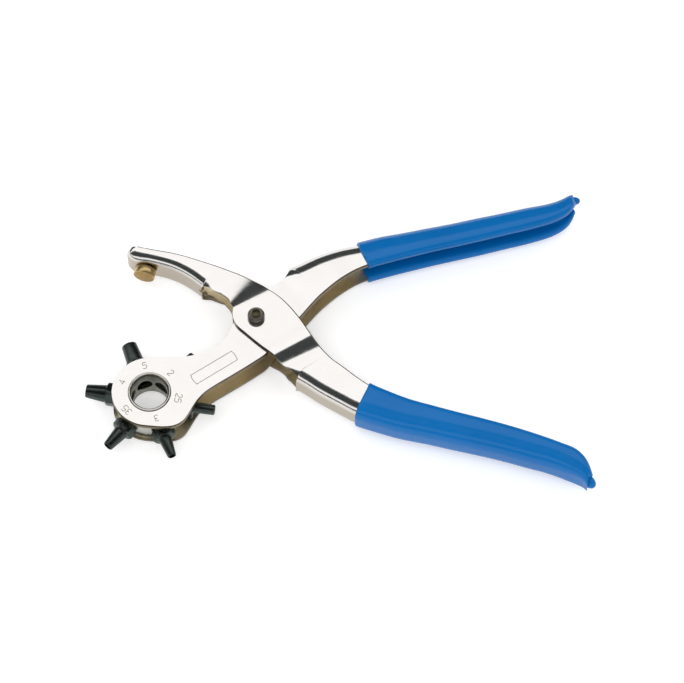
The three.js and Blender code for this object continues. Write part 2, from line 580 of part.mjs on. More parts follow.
// shank, hex collar and tapered tube, drilled through
function punch({ bore, root, edge, turn }, degrees) {
  const hex = new THREE.CylinderGeometry(COLLAR_CORNER_R, COLLAR_CORNER_R,
    COLLAR_OUT - COLLAR_IN, 6);
  hex.rotateX(Math.PI / 2);
  hex.rotateZ(THREE.MathUtils.degToRad(turn));
  hex.translate(0, 0, (COLLAR_OUT + COLLAR_IN) / 2);
  const chamfer = turned([
    [0, COLLAR_IN],
    [COLLAR_CORNER_R - 0.6, COLLAR_IN],
    [COLLAR_CORNER_R, COLLAR_IN + 0.6],
    [COLLAR_CORNER_R, COLLAR_OUT - 0.9],
    [COLLAR_CORNER_R - 0.9, COLLAR_OUT],
    [0, COLLAR_OUT],
  ], 0, 0, SMALL_SIDES);
  const stem = turned([
    [0, SHANK_IN],
    [SHANK_R, SHANK_IN],
    [SHANK_R, COLLAR_IN + 0.5],
    [root, COLLAR_OUT - 0.5],
    [root, COLLAR_OUT + 0.5],
    [edge + 0.1, PUNCH_TIP - 0.3],
    [edge - 0.15, PUNCH_TIP],
    [bore / 2 + 0.12, PUNCH_TIP],
    [0, PUNCH_TIP],
  ], 0, 0, SMALL_SIDES);
  const drill = turned([
    [0, SHANK_IN - 1],
    [bore / 2 + 0.35, SHANK_IN - 1],
    [bore / 2 + 0.35, COLLAR_OUT],
    [bore / 2, COLLAR_OUT + 1.5],
    [bore / 2, PUNCH_TIP + 1],
    [0, PUNCH_TIP + 1],
  ], 0, 0, SMALL_SIDES);
  const body = solid(hex).intersect(solid(chamfer)).add(solid(stem)).subtract(solid(drill));
  return onStation(geometryOf(body), degrees);
}

function keyPinBar(extra) {
  const a = THREE.MathUtils.degToRad(KEY_DEG);
  const x = WHEEL.x + DIMPLE_R * Math.cos(a);
  const y = WHEEL.y + DIMPLE_R * Math.sin(a);
  const low = MID - HEAD_HALF - extra;
  return bar(KEY_PIN_R + extra, low, MID + WASHER_HIGH + extra, x, y, TINY_SIDES);
}

function detentWasher() {
  const profile = [
    [HUB_R + 0.3, MID + WASHER_LOW],
    [WASHER_R, MID + WASHER_LOW],
    [WASHER_R, MID + WASHER_HIGH],
    [HUB_R + 0.3, MID + WASHER_HIGH],
    [HUB_R + 0.3, MID + WASHER_LOW],
  ];
  const a = THREE.MathUtils.degToRad(NIB_DEG);
  const x = WHEEL.x + DIMPLE_R * Math.cos(a);
  const y = WHEEL.y + DIMPLE_R * Math.sin(a);
  const nib = turned([
    [0, MID + WASHER_LOW + 0.1],
    [NIB_R, MID + WASHER_LOW + 0.1],
    [NIB_R, MID + WASHER_HIGH],
    [NIB_R / 2, MID + WASHER_HIGH + NIB_H - 0.1],
    [0, MID + WASHER_HIGH + NIB_H],
  ], x, y, TINY_SIDES);
  const ring = solid(turned(profile, WHEEL.x, WHEEL.y, FINE_SIDES));
  return geometryOf(ring.add(solid(nib)).subtract(solid(keyPinBar(0.1))));
}

function anvil() {
  const back = ANVIL_H - 0.1;
  const upset = ANVIL_H + SHEET + 0.15;
  return onAnvil(turned([
    [0, 0],
    [ANVIL_R - 0.25, 0],
    [ANVIL_R, 0.25],
    [ANVIL_R, back - 0.25],
    [ANVIL_R - 0.3, back],
    [ANVIL_SHANK_R, back],
    [ANVIL_SHANK_R, upset - 0.05],
    [ANVIL_UPSET_R, upset],
    [ANVIL_UPSET_R - 0.6, upset + ANVIL_UPSET_H - 0.3],
    [0, upset + ANVIL_UPSET_H],
  ], 0, 0, SIDES));
}

function pivotRivet() {
  const seat = MID + LAP_HALF + 0.05;
  const top = seat + RIVET_HEAD_H;
  return turned([
    [0, 0],
    [RIVET_BACK_R - 0.5, 0],
    [RIVET_BACK_R, 0.5],
    [RIVET_BACK_R, RIVET_BACK_H],
    [RIVET_R, RIVET_BACK_H],
    [RIVET_R, seat],
    [RIVET_HEAD_R - 0.3, seat],
    [RIVET_HEAD_R, seat + 0.6],
    [RIVET_HEAD_R, top - 1.5],
    [RIVET_HEAD_R - 0.9, top],
    [RIVET_DISH_R + 0.1, top],
    [RIVET_DISH_R - 0.1, top - RIVET_DISH_DEPTH + 0.1],
    [0, top - RIVET_DISH_DEPTH],
  ], 0, 0, SIDES);
}

function pivotSleeve() {
  return turned([
    [RIVET_R + RUN, MID - SLEEVE_HALF],
    [SLEEVE_R, MID - SLEEVE_HALF],
    [SLEEVE_R, MID + SLEEVE_HALF],
    [RIVET_R + RUN, MID + SLEEVE_HALF],
    [RIVET_R + RUN, MID - SLEEVE_HALF],
  ], 0, 0, SIDES);
}

// wire spring wound round the sleeve; the leg to the anvil arm stays between the laps
function openingSpring() {
  const perTurn = 12;
  const steps = Math.round(COIL_TURNS * perTurn);
  const low = -(COIL_TURNS * COIL_PITCH) / 2;
  const points = [new THREE.Vector3(...LEG_ENDS.anvilArm, MID + low)];
  for (let i = 0; i <= steps; i += 1) {
    const a = THREE.MathUtils.degToRad(COIL_START_DEG + (i * 360) / perTurn);
    points.push(new THREE.Vector3(
      COIL_R * Math.cos(a), COIL_R * Math.sin(a), MID + low + (i * COIL_PITCH) / perTurn,
    ));
  }
  points.push(new THREE.Vector3(...LEG_ENDS.wheelArm, MID - low));
  const section = new THREE.Shape();
  section.absarc(0, 0, WIRE_R, 0, 2 * Math.PI);
  return new THREE.ExtrudeGeometry(section, {
    steps: 80,
    curveSegments: 4,
    bevelEnabled: false,
    extrudePath: new THREE.CatmullRomCurve3(points, false, "centripetal"),
  });
}

// ---------------------------------------------------------------- materials and assembly

const material = (color, roughness, metalness) => new THREE.MeshStandardMaterial({
  color, roughness, metalness,
});
const plate = material(0xd9d6d0, 0.22, 1.0);
const coating = material(0x0067b2, 0.28, 0.0);
const blackened = material(0x323b37, 0.35, 0.7);
const wheelSteel = material(0xa9aaa6, 0.35, 1.0);
const burnished = material(0x4a4a44, 0.4, 0.9);
const brass = material(0xb99b5e, 0.3, 1.0);
const springSteel = material(0x77787a, 0.4, 1.0);

const group = new THREE.Group();
function place(name, geometry, look) {
  const mesh = new THREE.Mesh(geometry, look);
  mesh.name = name;
  group.add(mesh);
}

place("wheel_arm", wheelArm(), plate);
place("wheel_arm_grip",
  grip(WHEEL_SIDE, WHEEL_GRIP_FROM, WHEEL_ARM.length - 1, WHEEL_DRIP), coating);
place("anvil_arm", anvilArm(), plate);
place("anvil_arm_grip",
  grip(ANVIL_SIDE, ANVIL_GRIP_FROM, ANVIL_ARM.length - 1, ANVIL_DRIP), coating);
place("anvil", anvil(), brass);
place("pivot_rivet", pivotRivet(), burnished);
place("pivot_sleeve", pivotSleeve(), springSteel);
place("opening_spring", openingSpring(), springSteel);
place("hub_tube", hubTube(), wheelSteel);
place("turret_wheel", turretWheel(), wheelSteel);
place("detent_washer", detentWasher(), springSteel);
place("detent_key_pin", keyPinBar(0), springSteel);
PUNCHES.forEach((size, k) => {
  place(size.name, punch(size, FIRST_PUNCH_DEG + k * STATION_DEG), blackened);
});

export default group;
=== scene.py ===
# Rotary hole punch: revolving punch pliers with dipped grips, lying on a pale floor.
# The frame's origin is on the pivot axis, +X to the handles, +Y to the anvil jaw, +Z up.
# Sizes are millimetres until a mesh is made. The floor, the lights and the camera are placed
# in metres.
import json
import math

import bmesh
import bpy
from mathutils import Matrix, Vector


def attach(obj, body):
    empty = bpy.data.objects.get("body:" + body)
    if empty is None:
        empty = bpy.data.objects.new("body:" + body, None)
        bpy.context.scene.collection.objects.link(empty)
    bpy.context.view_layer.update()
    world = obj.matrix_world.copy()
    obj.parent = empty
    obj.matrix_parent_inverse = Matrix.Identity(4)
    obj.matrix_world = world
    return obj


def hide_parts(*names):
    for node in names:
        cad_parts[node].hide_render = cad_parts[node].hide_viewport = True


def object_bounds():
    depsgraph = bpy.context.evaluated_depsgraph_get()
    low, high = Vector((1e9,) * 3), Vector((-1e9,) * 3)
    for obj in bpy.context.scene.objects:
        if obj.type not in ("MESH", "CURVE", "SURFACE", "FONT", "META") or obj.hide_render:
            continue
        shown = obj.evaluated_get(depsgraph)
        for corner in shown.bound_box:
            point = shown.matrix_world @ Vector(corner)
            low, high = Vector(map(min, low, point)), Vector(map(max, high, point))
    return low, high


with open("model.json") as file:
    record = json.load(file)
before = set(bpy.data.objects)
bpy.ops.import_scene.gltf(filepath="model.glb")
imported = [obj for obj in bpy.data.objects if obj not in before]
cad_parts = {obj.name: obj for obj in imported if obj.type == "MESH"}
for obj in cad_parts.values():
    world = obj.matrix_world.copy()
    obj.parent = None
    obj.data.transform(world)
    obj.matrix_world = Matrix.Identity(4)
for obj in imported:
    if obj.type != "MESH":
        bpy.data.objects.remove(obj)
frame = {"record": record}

CAD_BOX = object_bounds()
MM = 0.001

# ---------------------------------------------------------------- places, from the frame
JOINTS = {j["name"]: j for j in frame["record"]["behaviour"]["joints"]}
PIVOT = Vector(JOINTS["jaw_pivot"]["pos_m"]) / MM
WHEEL = Vector(JOINTS["turret_spin"]["pos_m"]) / MM
MOUNTS = {m["name"]: m for m in frame["record"]["mounts"]}
ANVIL = Vector(MOUNTS["anvil_face"]["pos_m"]) / MM
ANVIL_UP = -Vector(MOUNTS["anvil_face"]["axis"])
MID = PIVOT.z
FLOOR_Z = CAD_BOX[0].z

# ---------------------------------------------------------------- driving dimensions
# pressed steel: sheet, rounding of its free edges and of its corners, and the shading's limit
SHEET = 1.8
EDGE_R = 0.6
STEEL_BEVEL = 0.25
FLAT_ANGLE = 12
# half widths over the cheeks: wheel arm at the head and in the grip, anvil arm where it laps
# the wheel arm, at the jaw and at the handle
HEAD_HALF = 8.05
GRIP_HALF = 7.9
LAP_HALF = 10.0
JAW_HALF = 8.3
TAIL_HALF = 8.2
# head, hub tube and wheel
HEAD_R = 16.6
HEAD_BEND = 3.6
HUB_R = 9.3
HUB_BORE_R = 8.1
HUB_HALF = 8.85
HUB_GAP = 0.2
WHEEL_R = 15.0
DIMPLE_RING_R = 12.0
DIMPLE_R = 1.3
SOCKET_R = 3.45
HUB_PORT_R = 3.6
# punches: direction of the first, step to the next, tip and back end from the wheel's axis, how
# far they lie below the middle plane, and the hex collar's half width across flats
FIRST_PUNCH_DEG = 110.6
STATION_DEG = 60.0
PUNCH_TIP = 28.7
PUNCH_BACK = 9.7
PUNCH_DROP = 0.8
HEX_HALF = 4.63
# dipped coating: on the faces, past the free edges, its room round the steel and its shading
COAT = 1.3
EDGE_COAT = 0.95
SEAT = 0.1
COATING_ANGLE = 60
# pivot
RIVET_HOLE_R = 3.2
SHANK_R = 3.1
SLEEVE_BORE_R = 3.18
SLEEVE_R = 5.0
# half length of a tool that cuts right through
THROUGH = 20

# name, hole size, tube radius at the collar and at the cutting edge, turn of the hex collar
PUNCHES = [
    ("punch_5mm", 5.0, 3.8, 3.3, 8),
    ("punch_4mm", 4.0, 3.85, 2.85, 20),
    ("punch_3_5mm", 3.5, 3.2, 2.15, -14),
    ("punch_3mm", 3.0, 2.85, 1.8, 2),
    ("punch_2_5mm", 2.5, 2.5, 2.15, 26),
    ("punch_2mm", 2.0, 2.3, 1.5, 12),
]

# The two arms are channels. Each station: cheek's free edge, line where the cheek's flat ends,
# outward direction of the web in degrees, half width, bend radius, how much of the band from
# the flat to the middle of the web is there, and how far the back cheek's edge is cut back.
ANVIL_ARM = [
    # nose, wrapped round by the web
    ((-53.0, 36.3), (-53.4, 35.9), 172, JAW_HALF, 3.6, 1, 0),
    ((-52.8, 36.2), (-53.4, 35.3), 184, JAW_HALF, 4.6, 1, 0),
    ((-52.2, 36.0), (-53.2, 34.7), 202, JAW_HALF, 5.0, 1, 0),
    ((-51.0, 35.7), (-52.5, 34.1), 228, JAW_HALF, 4.8, 1, 0),
    ((-49.3, 35.4), (-50.8, 33.6), 250, JAW_HALF, 4.4, 1, 0),
    ((-47.0, 34.9), (-47.9, 32.9), 256, JAW_HALF, 3.9, 1, 0),
    # jaw
    ((-42.9, 34.1), (-44.0, 31.9), 255, JAW_HALF, 3.8, 1, 0),
    ((-37.2, 32.9), (-38.7, 30.4), 250, JAW_HALF, 3.9, 1, 0),
    ((-31.2, 31.2), (-33.8, 28.5), 242, JAW_HALF, 4.1, 1, 0),
    ((-24.0, 28.7), (-27.5, 24.9), 235, JAW_HALF, 4.3, 1, 0),
    ((-19.0, 26.9), (-23.2, 21.6), 231, JAW_HALF, 4.4, 1, 0),
    ((-17.2, 26.2), (-21.7, 20.2), 230, JAW_HALF, 4.4, 1, 0),
    # web cut away for the other arm
    ((-17.1, 26.15), (-21.9, 19.7), 230, JAW_HALF, 4.4, 0.42, 0),
    ((-16.6, 26.0), (-21.2, 18.8), 229, JAW_HALF, 4.5, 0.3, 0.6),
    ((-15.6, 25.6), (-20.1, 17.6), 229, JAW_HALF, 4.7, 0.2, 1.4),
    ((-13.4, 24.7), (-18.3, 15.0), 229, JAW_HALF, 5.0, 0.1, 2.4),
    ((-10.8, 23.6), (-15.6, 12.7), 230, JAW_HALF, 5.0, 0, 2.6),
    ((-7.1, 22.0), (-12.2, 9.9), 225, JAW_HALF, 4.5, 0, 1.4),
    # stepped outwards over the wheel arm
    ((-0.9, 18.5), (-11.3, 7.4), 208, 8.75, 4.0, 0, 0.5),
    ((3.0, 15.9), (-10.7, 5.9), 197, 9.6, 4.0, 0, 0),
    ((6.0, 13.6), (-10.3, 4.7), 190, LAP_HALF, 4.0, 0, 0),
    ((9.2, 11.3), (-10.4, 1.2), 185, LAP_HALF, 4.0, 0, 0),
    ((12.2, 8.6), (-9.0, -3.0), 200, LAP_HALF, 4.0, 0, 0),
    ((15.4, 5.0), (-4.4, -7.6), 225, LAP_HALF, 4.0, 0, 0),
    ((19.6, -0.6), (2.0, -13.3), 228, LAP_HALF, 4.0, 0, 1),
    ((24.4, -8.2), (7.9, -18.1), 231, LAP_HALF, 4.6, 0, 2.4),
    ((25.7, -10.0), (9.0, -19.4), 231, 9.45, 5.0, 0, 2.6),
    ((27.3, -12.0), (10.6, -20.8), 233, 8.6, 5.4, 0.01, 2.4),
    ((28.6, -13.7), (12.1, -22.1), 234, TAIL_HALF, 5.4, 0.03, 1.9),
    ((29.8, -15.2), (15.5, -23.1), 236, TAIL_HALF, 5.4, 0.11, 1.0),
    ((30.8, -16.3), (18.5, -24.3), 237, TAIL_HALF, 5.4, 0.21, 0.4),
    ((31.6, -17.2), (20.3, -24.8), 237, TAIL_HALF, 5.4, 0.29, 0.1),
    # web of the handle
    ((31.7, -17.3), (20.5, -24.5), 237, TAIL_HALF, 5.4, 1, 0),
    ((33.4, -19.1), (23.7, -26.2), 237, TAIL_HALF, 5.4, 1, 0),
    ((38.1, -22.8), (30.3, -30.8), 237, TAIL_HALF, 5.4, 1, 0),
    ((44.4, -28.0), (39.3, -36.2), 238, TAIL_HALF, 5.4, 1, 0),
    # the coating starts here
    ((49.8, -31.9), (46.0, -39.9), 244, TAIL_HALF, 5.5, 1, 0),
    ((57.4, -35.6), (54.4, -42.7), 250, TAIL_HALF, 5.7, 1, 0),
    ((66.7, -39.5), (65.1, -45.9), 254, TAIL_HALF, 5.8, 1, 0),
    ((77.1, -42.7), (75.8, -48.1), 256, TAIL_HALF, 6.0, 1, 0),
    ((88.1, -45.9), (86.8, -50.8), 256, TAIL_HALF, 6.0, 1, 0),
    ((98.9, -48.9), (97.8, -53.4), 256, TAIL_HALF, 6.0, 1, 0),
    ((110.0, -52.2), (108.8, -56.2), 254, TAIL_HALF, 6.0, 1, 0),
    ((121.2, -56.0), (119.8, -59.5), 253, TAIL_HALF, 6.0, 1, 0),
    ((132.0, -60.2), (130.9, -62.9), 251, TAIL_HALF, 6.0, 1, 0),
]
ANVIL_ARM_TAIL = [
    # only the dipped coating reaches these
    ((138.9, -63.2), (137.2, -66.5), 250, 7.8, 4.8, 1, 0),
    ((142.7, -66.9), (141.0, -69.2), 250, 7.2, 3.7, 1, 0),
    ((144.6, -70.6), (143.5, -71.5), 252, 6.2, 3.0, 1, 0),
    ((145.7, -73.8), (144.9, -74.2), 258, 4.5, 2.5, 1, 0),
]
WHEEL_ARM_NECK = [
    ((-39.6, -52.6), (-39.5, -18.8), 90, HEAD_HALF, 3.6, 0, 0),
    ((-35.0, -51.9), (-33.2, -18.6), 92, HEAD_HALF, 3.6, 0, 0),
    ((-31.6, -49.8), (-28.2, -17.8), 100, HEAD_HALF, 3.6, 0, 0),
    ((-29.3, -46.4), (-24.4, -16.7), 106, HEAD_HALF, 3.6, 0, 0),
    ((-27.3, -42.6), (-21.4, -15.5), 112, HEAD_HALF, 3.6, 0, 0),
    ((-25.2, -39.2), (-18.9, -14.2), 118, HEAD_HALF, 3.6, 0, 0),
    ((-22.4, -36.1), (-16.6, -12.5), 124, HEAD_HALF, 3.6, 0, 0),
    ((-18.0, -32.8), (-13.6, -9.5), 135, HEAD_HALF, 3.6, 0, 0),
    ((-12.0, -28.9), (-11.5, -5.9), 150, HEAD_HALF, 3.6, 0, 0),
    ((-5.9, -24.9), (-10.0, -2.2), 160, HEAD_HALF, 3.6, 0, 0),
    ((-0.4, -21.1), (-9.0, 0.8), 160, HEAD_HALF, 3.6, 0, 0),
    ((4.2, -17.6), (-7.2, 3.6), 140, HEAD_HALF, 3.6, 0, 0),
    ((7.0, -13.9), (-3.8, 6.3), 128, HEAD_HALF, 3.6, 0, 0),
    ((10.3, -9.6), (0.6, 9.3), 126, HEAD_HALF, 3.6, 0, 0),
    ((14.0, -5.4), (5.0, 13.0), 128, HEAD_HALF, 3.6, 0, 0),
    ((18.1, -0.8), (8.5, 17.1), 130, HEAD_HALF, 3.6, 0, 0),
    ((22.6, 4.9), (12.2, 20.1), 128, 7.9, 4.4, 0, 0),
    ((25.2, 8.1), (15.7, 21.3), 127, 8.0, 6.4, 0.25, 0),
    ((27.2, 10.5), (18.0, 22.0), 126, 8.0, 7.4, 0.55, 0),
    ((28.5, 11.9), (19.6, 22.0), 126, 8.0, 7.7, 0.9, 0),
    # web of the handle
    ((28.6, 12.0), (19.5, 22.1), 126, 8.0, 7.7, 1, 0),
    ((31.4, 14.7), (22.6, 23.7), 124, 8.0, 7.7, 1, 0),
    ((37.0, 19.6), (30.2, 27.6), 115, 8.0, 7.6, 1, 0),
    ((43.5, 24.0), (38.6, 30.7), 109, 7.9, 7.4, 1, 0),
    # the coating starts here
    ((49.5, 26.8), (46.3, 32.5), 106, 7.9, 7.2, 1, 0),
    ((58.6, 29.7), (56.4, 35.4), 104, GRIP_HALF, 7.0, 1, 0),
    ((67.0, 32.1), (65.2, 37.2), 103, GRIP_HALF, 6.9, 1, 0),
    ((78.0, 35.1), (76.4, 39.7), 103, GRIP_HALF, 6.8, 1, 0),
    ((88.8, 37.8), (87.6, 42.1), 103, GRIP_HALF, 6.7, 1, 0),
    ((100.0, 40.6), (98.9, 44.9), 103, GRIP_HALF, 6.6, 1, 0),
    ((111.0, 43.6), (110.1, 47.5), 104, GRIP_HALF, 6.5, 1, 0),
    ((122.3, 46.6), (121.6, 50.4), 106, GRIP_HALF, 6.4, 1, 0),
]
WHEEL_ARM_TAIL = [
    ((133.2, 50.4), (133.1, 53.3), 108, 7.7, 6.0, 1, 0),
    ((138.5, 53.9), (137.9, 55.9), 109, 7.3, 5.2, 1, 0),
    ((141.2, 57.2), (140.8, 58.8), 107, 6.7, 3.9, 1, 0),
    ((142.4, 60.1), (141.9, 60.7), 100, 5.1, 3.0, 1, 0),
]


def head_stations():
    """The round head, from its far point to where the neck begins."""
    first, sweep, steps = 2, 86, 9
    rows = []
    for i in range(steps):
        a = math.radians(first + i * sweep / (steps - 1))
        x = WHEEL.x - HEAD_R * math.cos(a)
        dy = HEAD_R * math.sin(a)
        rows.append(((x, WHEEL.y - dy), (x, WHEEL.y + dy), 90, HEAD_HALF, HEAD_BEND, 0, 0))
    return rows


HEAD = head_stations()
WHEEL_ARM = HEAD + WHEEL_ARM_NECK
# places along the arms, counted in stations: relief hole, and start of each coating
RELIEF_STATION = 10.7
ANVIL_GRIP_FROM = 36
WHEEL_GRIP_FROM = len(HEAD) + 24
# the relief hole's radius, and its height over the middle plane
RELIEF_R = 1.3
RELIEF_OFF_MIDDLE = 0.8

# ---------------------------------------------------------------- materials


def new_material(name):
    material = bpy.data.materials.new(name)
    material.use_nodes = True
    tree = material.node_tree
    return material, tree, tree.nodes["Principled BSDF"]


def noise(tree, scale, detail=3.0, rough=0.5, stretch=(1, 1, 1)):
    """Noise in the object's own space, where one unit is a metre."""
    coords = tree.nodes.new("ShaderNodeTexCoord")
    mapping = tree.nodes.new("ShaderNodeMapping")
    mapping.inputs["Scale"].default_value = stretch
    tree.links.new(coords.outputs["Object"], mapping.inputs["Vector"])
    node = tree.nodes.new("ShaderNodeTexNoise")
    node.inputs["Scale"].default_value = scale
    node.inputs["Detail"].default_value = detail
    node.inputs["Roughness"].default_value = rough
    tree.links.new(mapping.outputs["Vector"], node.inputs["Vector"])
    return node.outputs["Fac"]


def ramp(tree, source, low, high, start=0.3, end=0.7):
    """Goes from low to high as the source goes from start to end."""
    node = tree.nodes.new("ShaderNodeMapRange")
    node.inputs["From Min"].default_value = start
    node.inputs["From Max"].default_value = end
    node.inputs["To Min"].default_value = low
    node.inputs["To Max"].default_value = high
    tree.links.new(source, node.inputs["Value"])
    return node.outputs["Result"]


def mix_colour(tree, factor, a, b):
    """Goes from a to b as factor goes from 0 to 1; a is a colour or another node's output."""
    node = tree.nodes.new("ShaderNodeMix")
    node.data_type = "RGBA"
    tree.links.new(factor, node.inputs["Factor"])
    if isinstance(a, bpy.types.NodeSocket):
        tree.links.new(a, node.inputs["A"])
    else:
        node.inputs["A"].default_value = (*a, 1)
    node.inputs["B"].default_value = (*b, 1)
    return node.outputs["Result"]


def bumps(tree, shader, layers):
    """Stacks bump layers: each is (height source, strength, distance in mm)."""
    normal = None
    for source, strength, distance in layers:
        node = tree.nodes.new("ShaderNodeBump")
        node.inputs["Strength"].default_value = strength
        node.inputs["Distance"].default_value = distance * MM
        tree.links.new(source, node.inputs["Height"])
        if normal is not None:
            tree.links.new(normal, node.inputs["Normal"])
        normal = node.outputs["Normal"]
    tree.links.new(normal, shader.inputs["Normal"])


def steel(name, light, dark, rough, grain=0.1, wave=0.0, side=None):
    """Worked metal: two tones in patches, streaked roughness, and optionally a slight
    waviness and a third tone where the surface stands upright, which is a painted reflection."""
    material, tree, shader = new_material(name)
    shader.inputs["Metallic"].default_value = 1.0
    patches = noise(tree, 90, 4)
    streaks = noise(tree, 180, 5, 0.6, (1.0, 14.0, 1.0))
    colour = mix_colour(tree, ramp(tree, patches, 0, 1), light, dark)
    # painted reflection: upright faces get the side tone, which stands for a tan ground they
    # mirror
    if side:
        geometry = tree.nodes.new("ShaderNodeNewGeometry")
        parts = tree.nodes.new("ShaderNodeSeparateXYZ")
        tree.links.new(geometry.outputs["Normal"], parts.inputs["Vector"])
        steep = tree.nodes.new("ShaderNodeMath")
        steep.operation = "ABSOLUTE"
        tree.links.new(parts.outputs["Z"], steep.inputs[0])
        upright_painted_reflection = ramp(tree, steep.outputs["Value"], 1, 0, 0.15, 0.62)
        colour = mix_colour(tree, upright_painted_reflection, colour, side)
    tree.links.new(colour, shader.inputs["Base Color"])
    tree.links.new(
        ramp(tree, streaks, rough * 0.75, rough * 1.35), shader.inputs["Roughness"])
    layers = [(streaks, grain, 0.02)]
    if wave:
        layers.append((noise(tree, 70, 1), wave, 0.12))
        layers.append((noise(tree, 1500, 2, 0.6), wave * 3.5, 0.03))
    bumps(tree, shader, layers)
    return material


def vinyl():
    """Glossy dipped coating, slightly uneven as dipping leaves it."""
    material, tree, shader = new_material("dipped_blue_vinyl")
    patches = noise(tree, 35, 3)
    tree.links.new(
        mix_colour(tree, ramp(tree, patches, 0, 1), (0.0, 0.122, 0.385), (0.0, 0.136, 0.42)),
        shader.inputs["Base Color"])
    tree.links.new(ramp(tree, noise(tree, 260, 4), 0.14, 0.22), shader.inputs["Roughness"])
    shader.inputs["Specular IOR Level"].default_value = 0.3
    bumps(tree, shader, [(noise(tree, 60, 1.5), 0.25, 0.12), (noise(tree, 900, 2), 0.05, 0.02)])
    return material


# the plate's tan third tone on upright faces is a painted reflection
PLATE = steel("nickel_plate", (0.86, 0.845, 0.83), (0.84, 0.825, 0.805), 0.15, 0.05, 0.10,
              (0.54, 0.48, 0.40))
# painted reflection and painted shade: the channels' inside faces get a tan, golden copy of the
# plating that stands for the ground they mirror and for the shade between the cheeks
PLATE_INSIDE_PAINTED_LIGHT = steel("nickel_plate_inside_painted_light", (0.92, 0.82, 0.61), (0.70, 0.62, 0.45), 0.34, 0.25)
# painted shade and painted reflection: the sheet's cut edges and roundings get a dark brown copy
# of the plating that stands for the dark reflections and contact shade along them
PLATE_EDGE_PAINTED_SHADE = steel("nickel_plate_edge_painted_shade", (0.26, 0.215, 0.15), (0.15, 0.12, 0.08), 0.3, 0.2)
MARKS = steel("etched_marks", (0.48, 0.38, 0.25), (0.38, 0.30, 0.19), 0.6, 0.2)
BLACKENED = steel("blackened_steel", (0.085, 0.10, 0.095), (0.05, 0.065, 0.06), 0.28, 0.25)
WHEEL_STEEL = steel("wheel_steel", (0.62, 0.62, 0.57), (0.45, 0.46, 0.42), 0.26, 0.2)
HUB_STEEL = steel("hub_steel", (0.66, 0.64, 0.60), (0.54, 0.52, 0.48), 0.2, 0.2)
BORE_STEEL = steel("bore_steel", (0.46, 0.47, 0.40), (0.30, 0.31, 0.26), 0.38, 0.3)
RIVET_STEEL = steel("rivet_steel", (0.24, 0.225, 0.185), (0.14, 0.135, 0.11), 0.33, 0.3)
RIVET_DISH = steel("rivet_dish", (0.30, 0.25, 0.16), (0.14, 0.115, 0.07), 0.5, 0.4)
SPRING_STEEL = steel("spring_steel", (0.33, 0.33, 0.33), (0.24, 0.24, 0.24), 0.3, 0.2)
BRASS = steel("brass", (0.70, 0.52, 0.25), (0.52, 0.36, 0.15), 0.28, 0.2)
BRASS_FACE = steel("brass_face", (0.44, 0.29, 0.115), (0.34, 0.22, 0.08), 0.42, 0.3)
VINYL = vinyl()

# ---------------------------------------------------------------- mesh helpers


MERGE = 0.002 * MM
SLIVER = 0.001 * MM
BEVEL_FROM = math.radians(50)


def new_object(name, data):
    thing = bpy.data.objects.new(name, data)
    bpy.context.scene.collection.objects.link(thing)
    return thing


def new_mesh(name, vertices, faces, materials=()):
    """A mesh in metres from points in millimetres."""
    mesh = bpy.data.meshes.new(name)
    mesh.from_pydata([tuple(v * MM for v in p) for p in vertices], [], faces)
    for material in materials:
        mesh.materials.append(material)
    return mesh


def close_up(mesh, drop_slivers):
    """Merges the vertices that touch and turns the faces outwards."""
    edit = bmesh.new()
    edit.from_mesh(mesh)
    bmesh.ops.remove_doubles(edit, verts=edit.verts, dist=MERGE)
    if drop_slivers:
        bmesh.ops.dissolve_degenerate(edit, edges=edit.edges, dist=SLIVER)
    bmesh.ops.recalc_face_normals(edit, faces=edit.faces)
    edit.to_mesh(mesh)
    edit.free()


def finish_mesh(name, vertices, faces, material, body, node=None, marks=None, bevel=0.0,
                angle=38, cutters=(), bevel_mark=-1, even_flats=False):
    """Makes one piece from points in millimetres; marks gives each face's material index.
    With even_flats, wide faces keep their own shading beside narrow ones."""
    materials = material if isinstance(material, list) else [material]
    mesh = new_mesh(name, vertices, faces, materials)
    if marks:
        mesh.polygons.foreach_set("material_index", marks)
    close_up(mesh, True)
    piece = new_object(name, mesh)
    for cutter in cutters:
        cut = piece.modifiers.new("cut", "BOOLEAN")
        cut.operation = "DIFFERENCE"
        cut.solver = "EXACT"
        cut.object = cutter
        cut.material_mode = "TRANSFER"
    apply_modifiers(piece)
    for cutter in cutters:
        bpy.data.objects.remove(cutter)
    if bevel:
        round_off = piece.modifiers.new("round_off", "BEVEL")
        round_off.width = bevel * MM
        round_off.segments = 3
        round_off.limit_method = "ANGLE"
        round_off.angle_limit = BEVEL_FROM
        round_off.material = bevel_mark
        apply_modifiers(piece)
    piece.data.polygons.foreach_set("use_smooth", [True] * len(piece.data.polygons))
    piece.data.set_sharp_from_angle(angle=math.radians(angle))
    if even_flats:
        weights = piece.modifiers.new("even_flats", "WEIGHTED_NORMAL")
        weights.keep_sharp = True
        weights.weight = 100
        apply_modifiers(piece)
    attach(piece, body)
    if node:
        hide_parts(node)
    return piece


def apply_modifiers(piece):
    """Puts the modifiers' result in place of the piece's mesh."""
    if not piece.modifiers:
        return
    graph = bpy.context.evaluated_depsgraph_get()
    mesh = bpy.data.meshes.new_from_object(piece.evaluated_get(graph))
    piece.modifiers.clear()
    old = piece.data
    piece.data = mesh
    bpy.data.meshes.remove(old)


def tool(vertices, faces, material=None):
    """A cutter: an object that lives until its cut is made."""
    mesh = new_mesh("tool", vertices, faces, [material] if material else [])
    close_up(mesh, False)
    return new_object("tool", mesh)


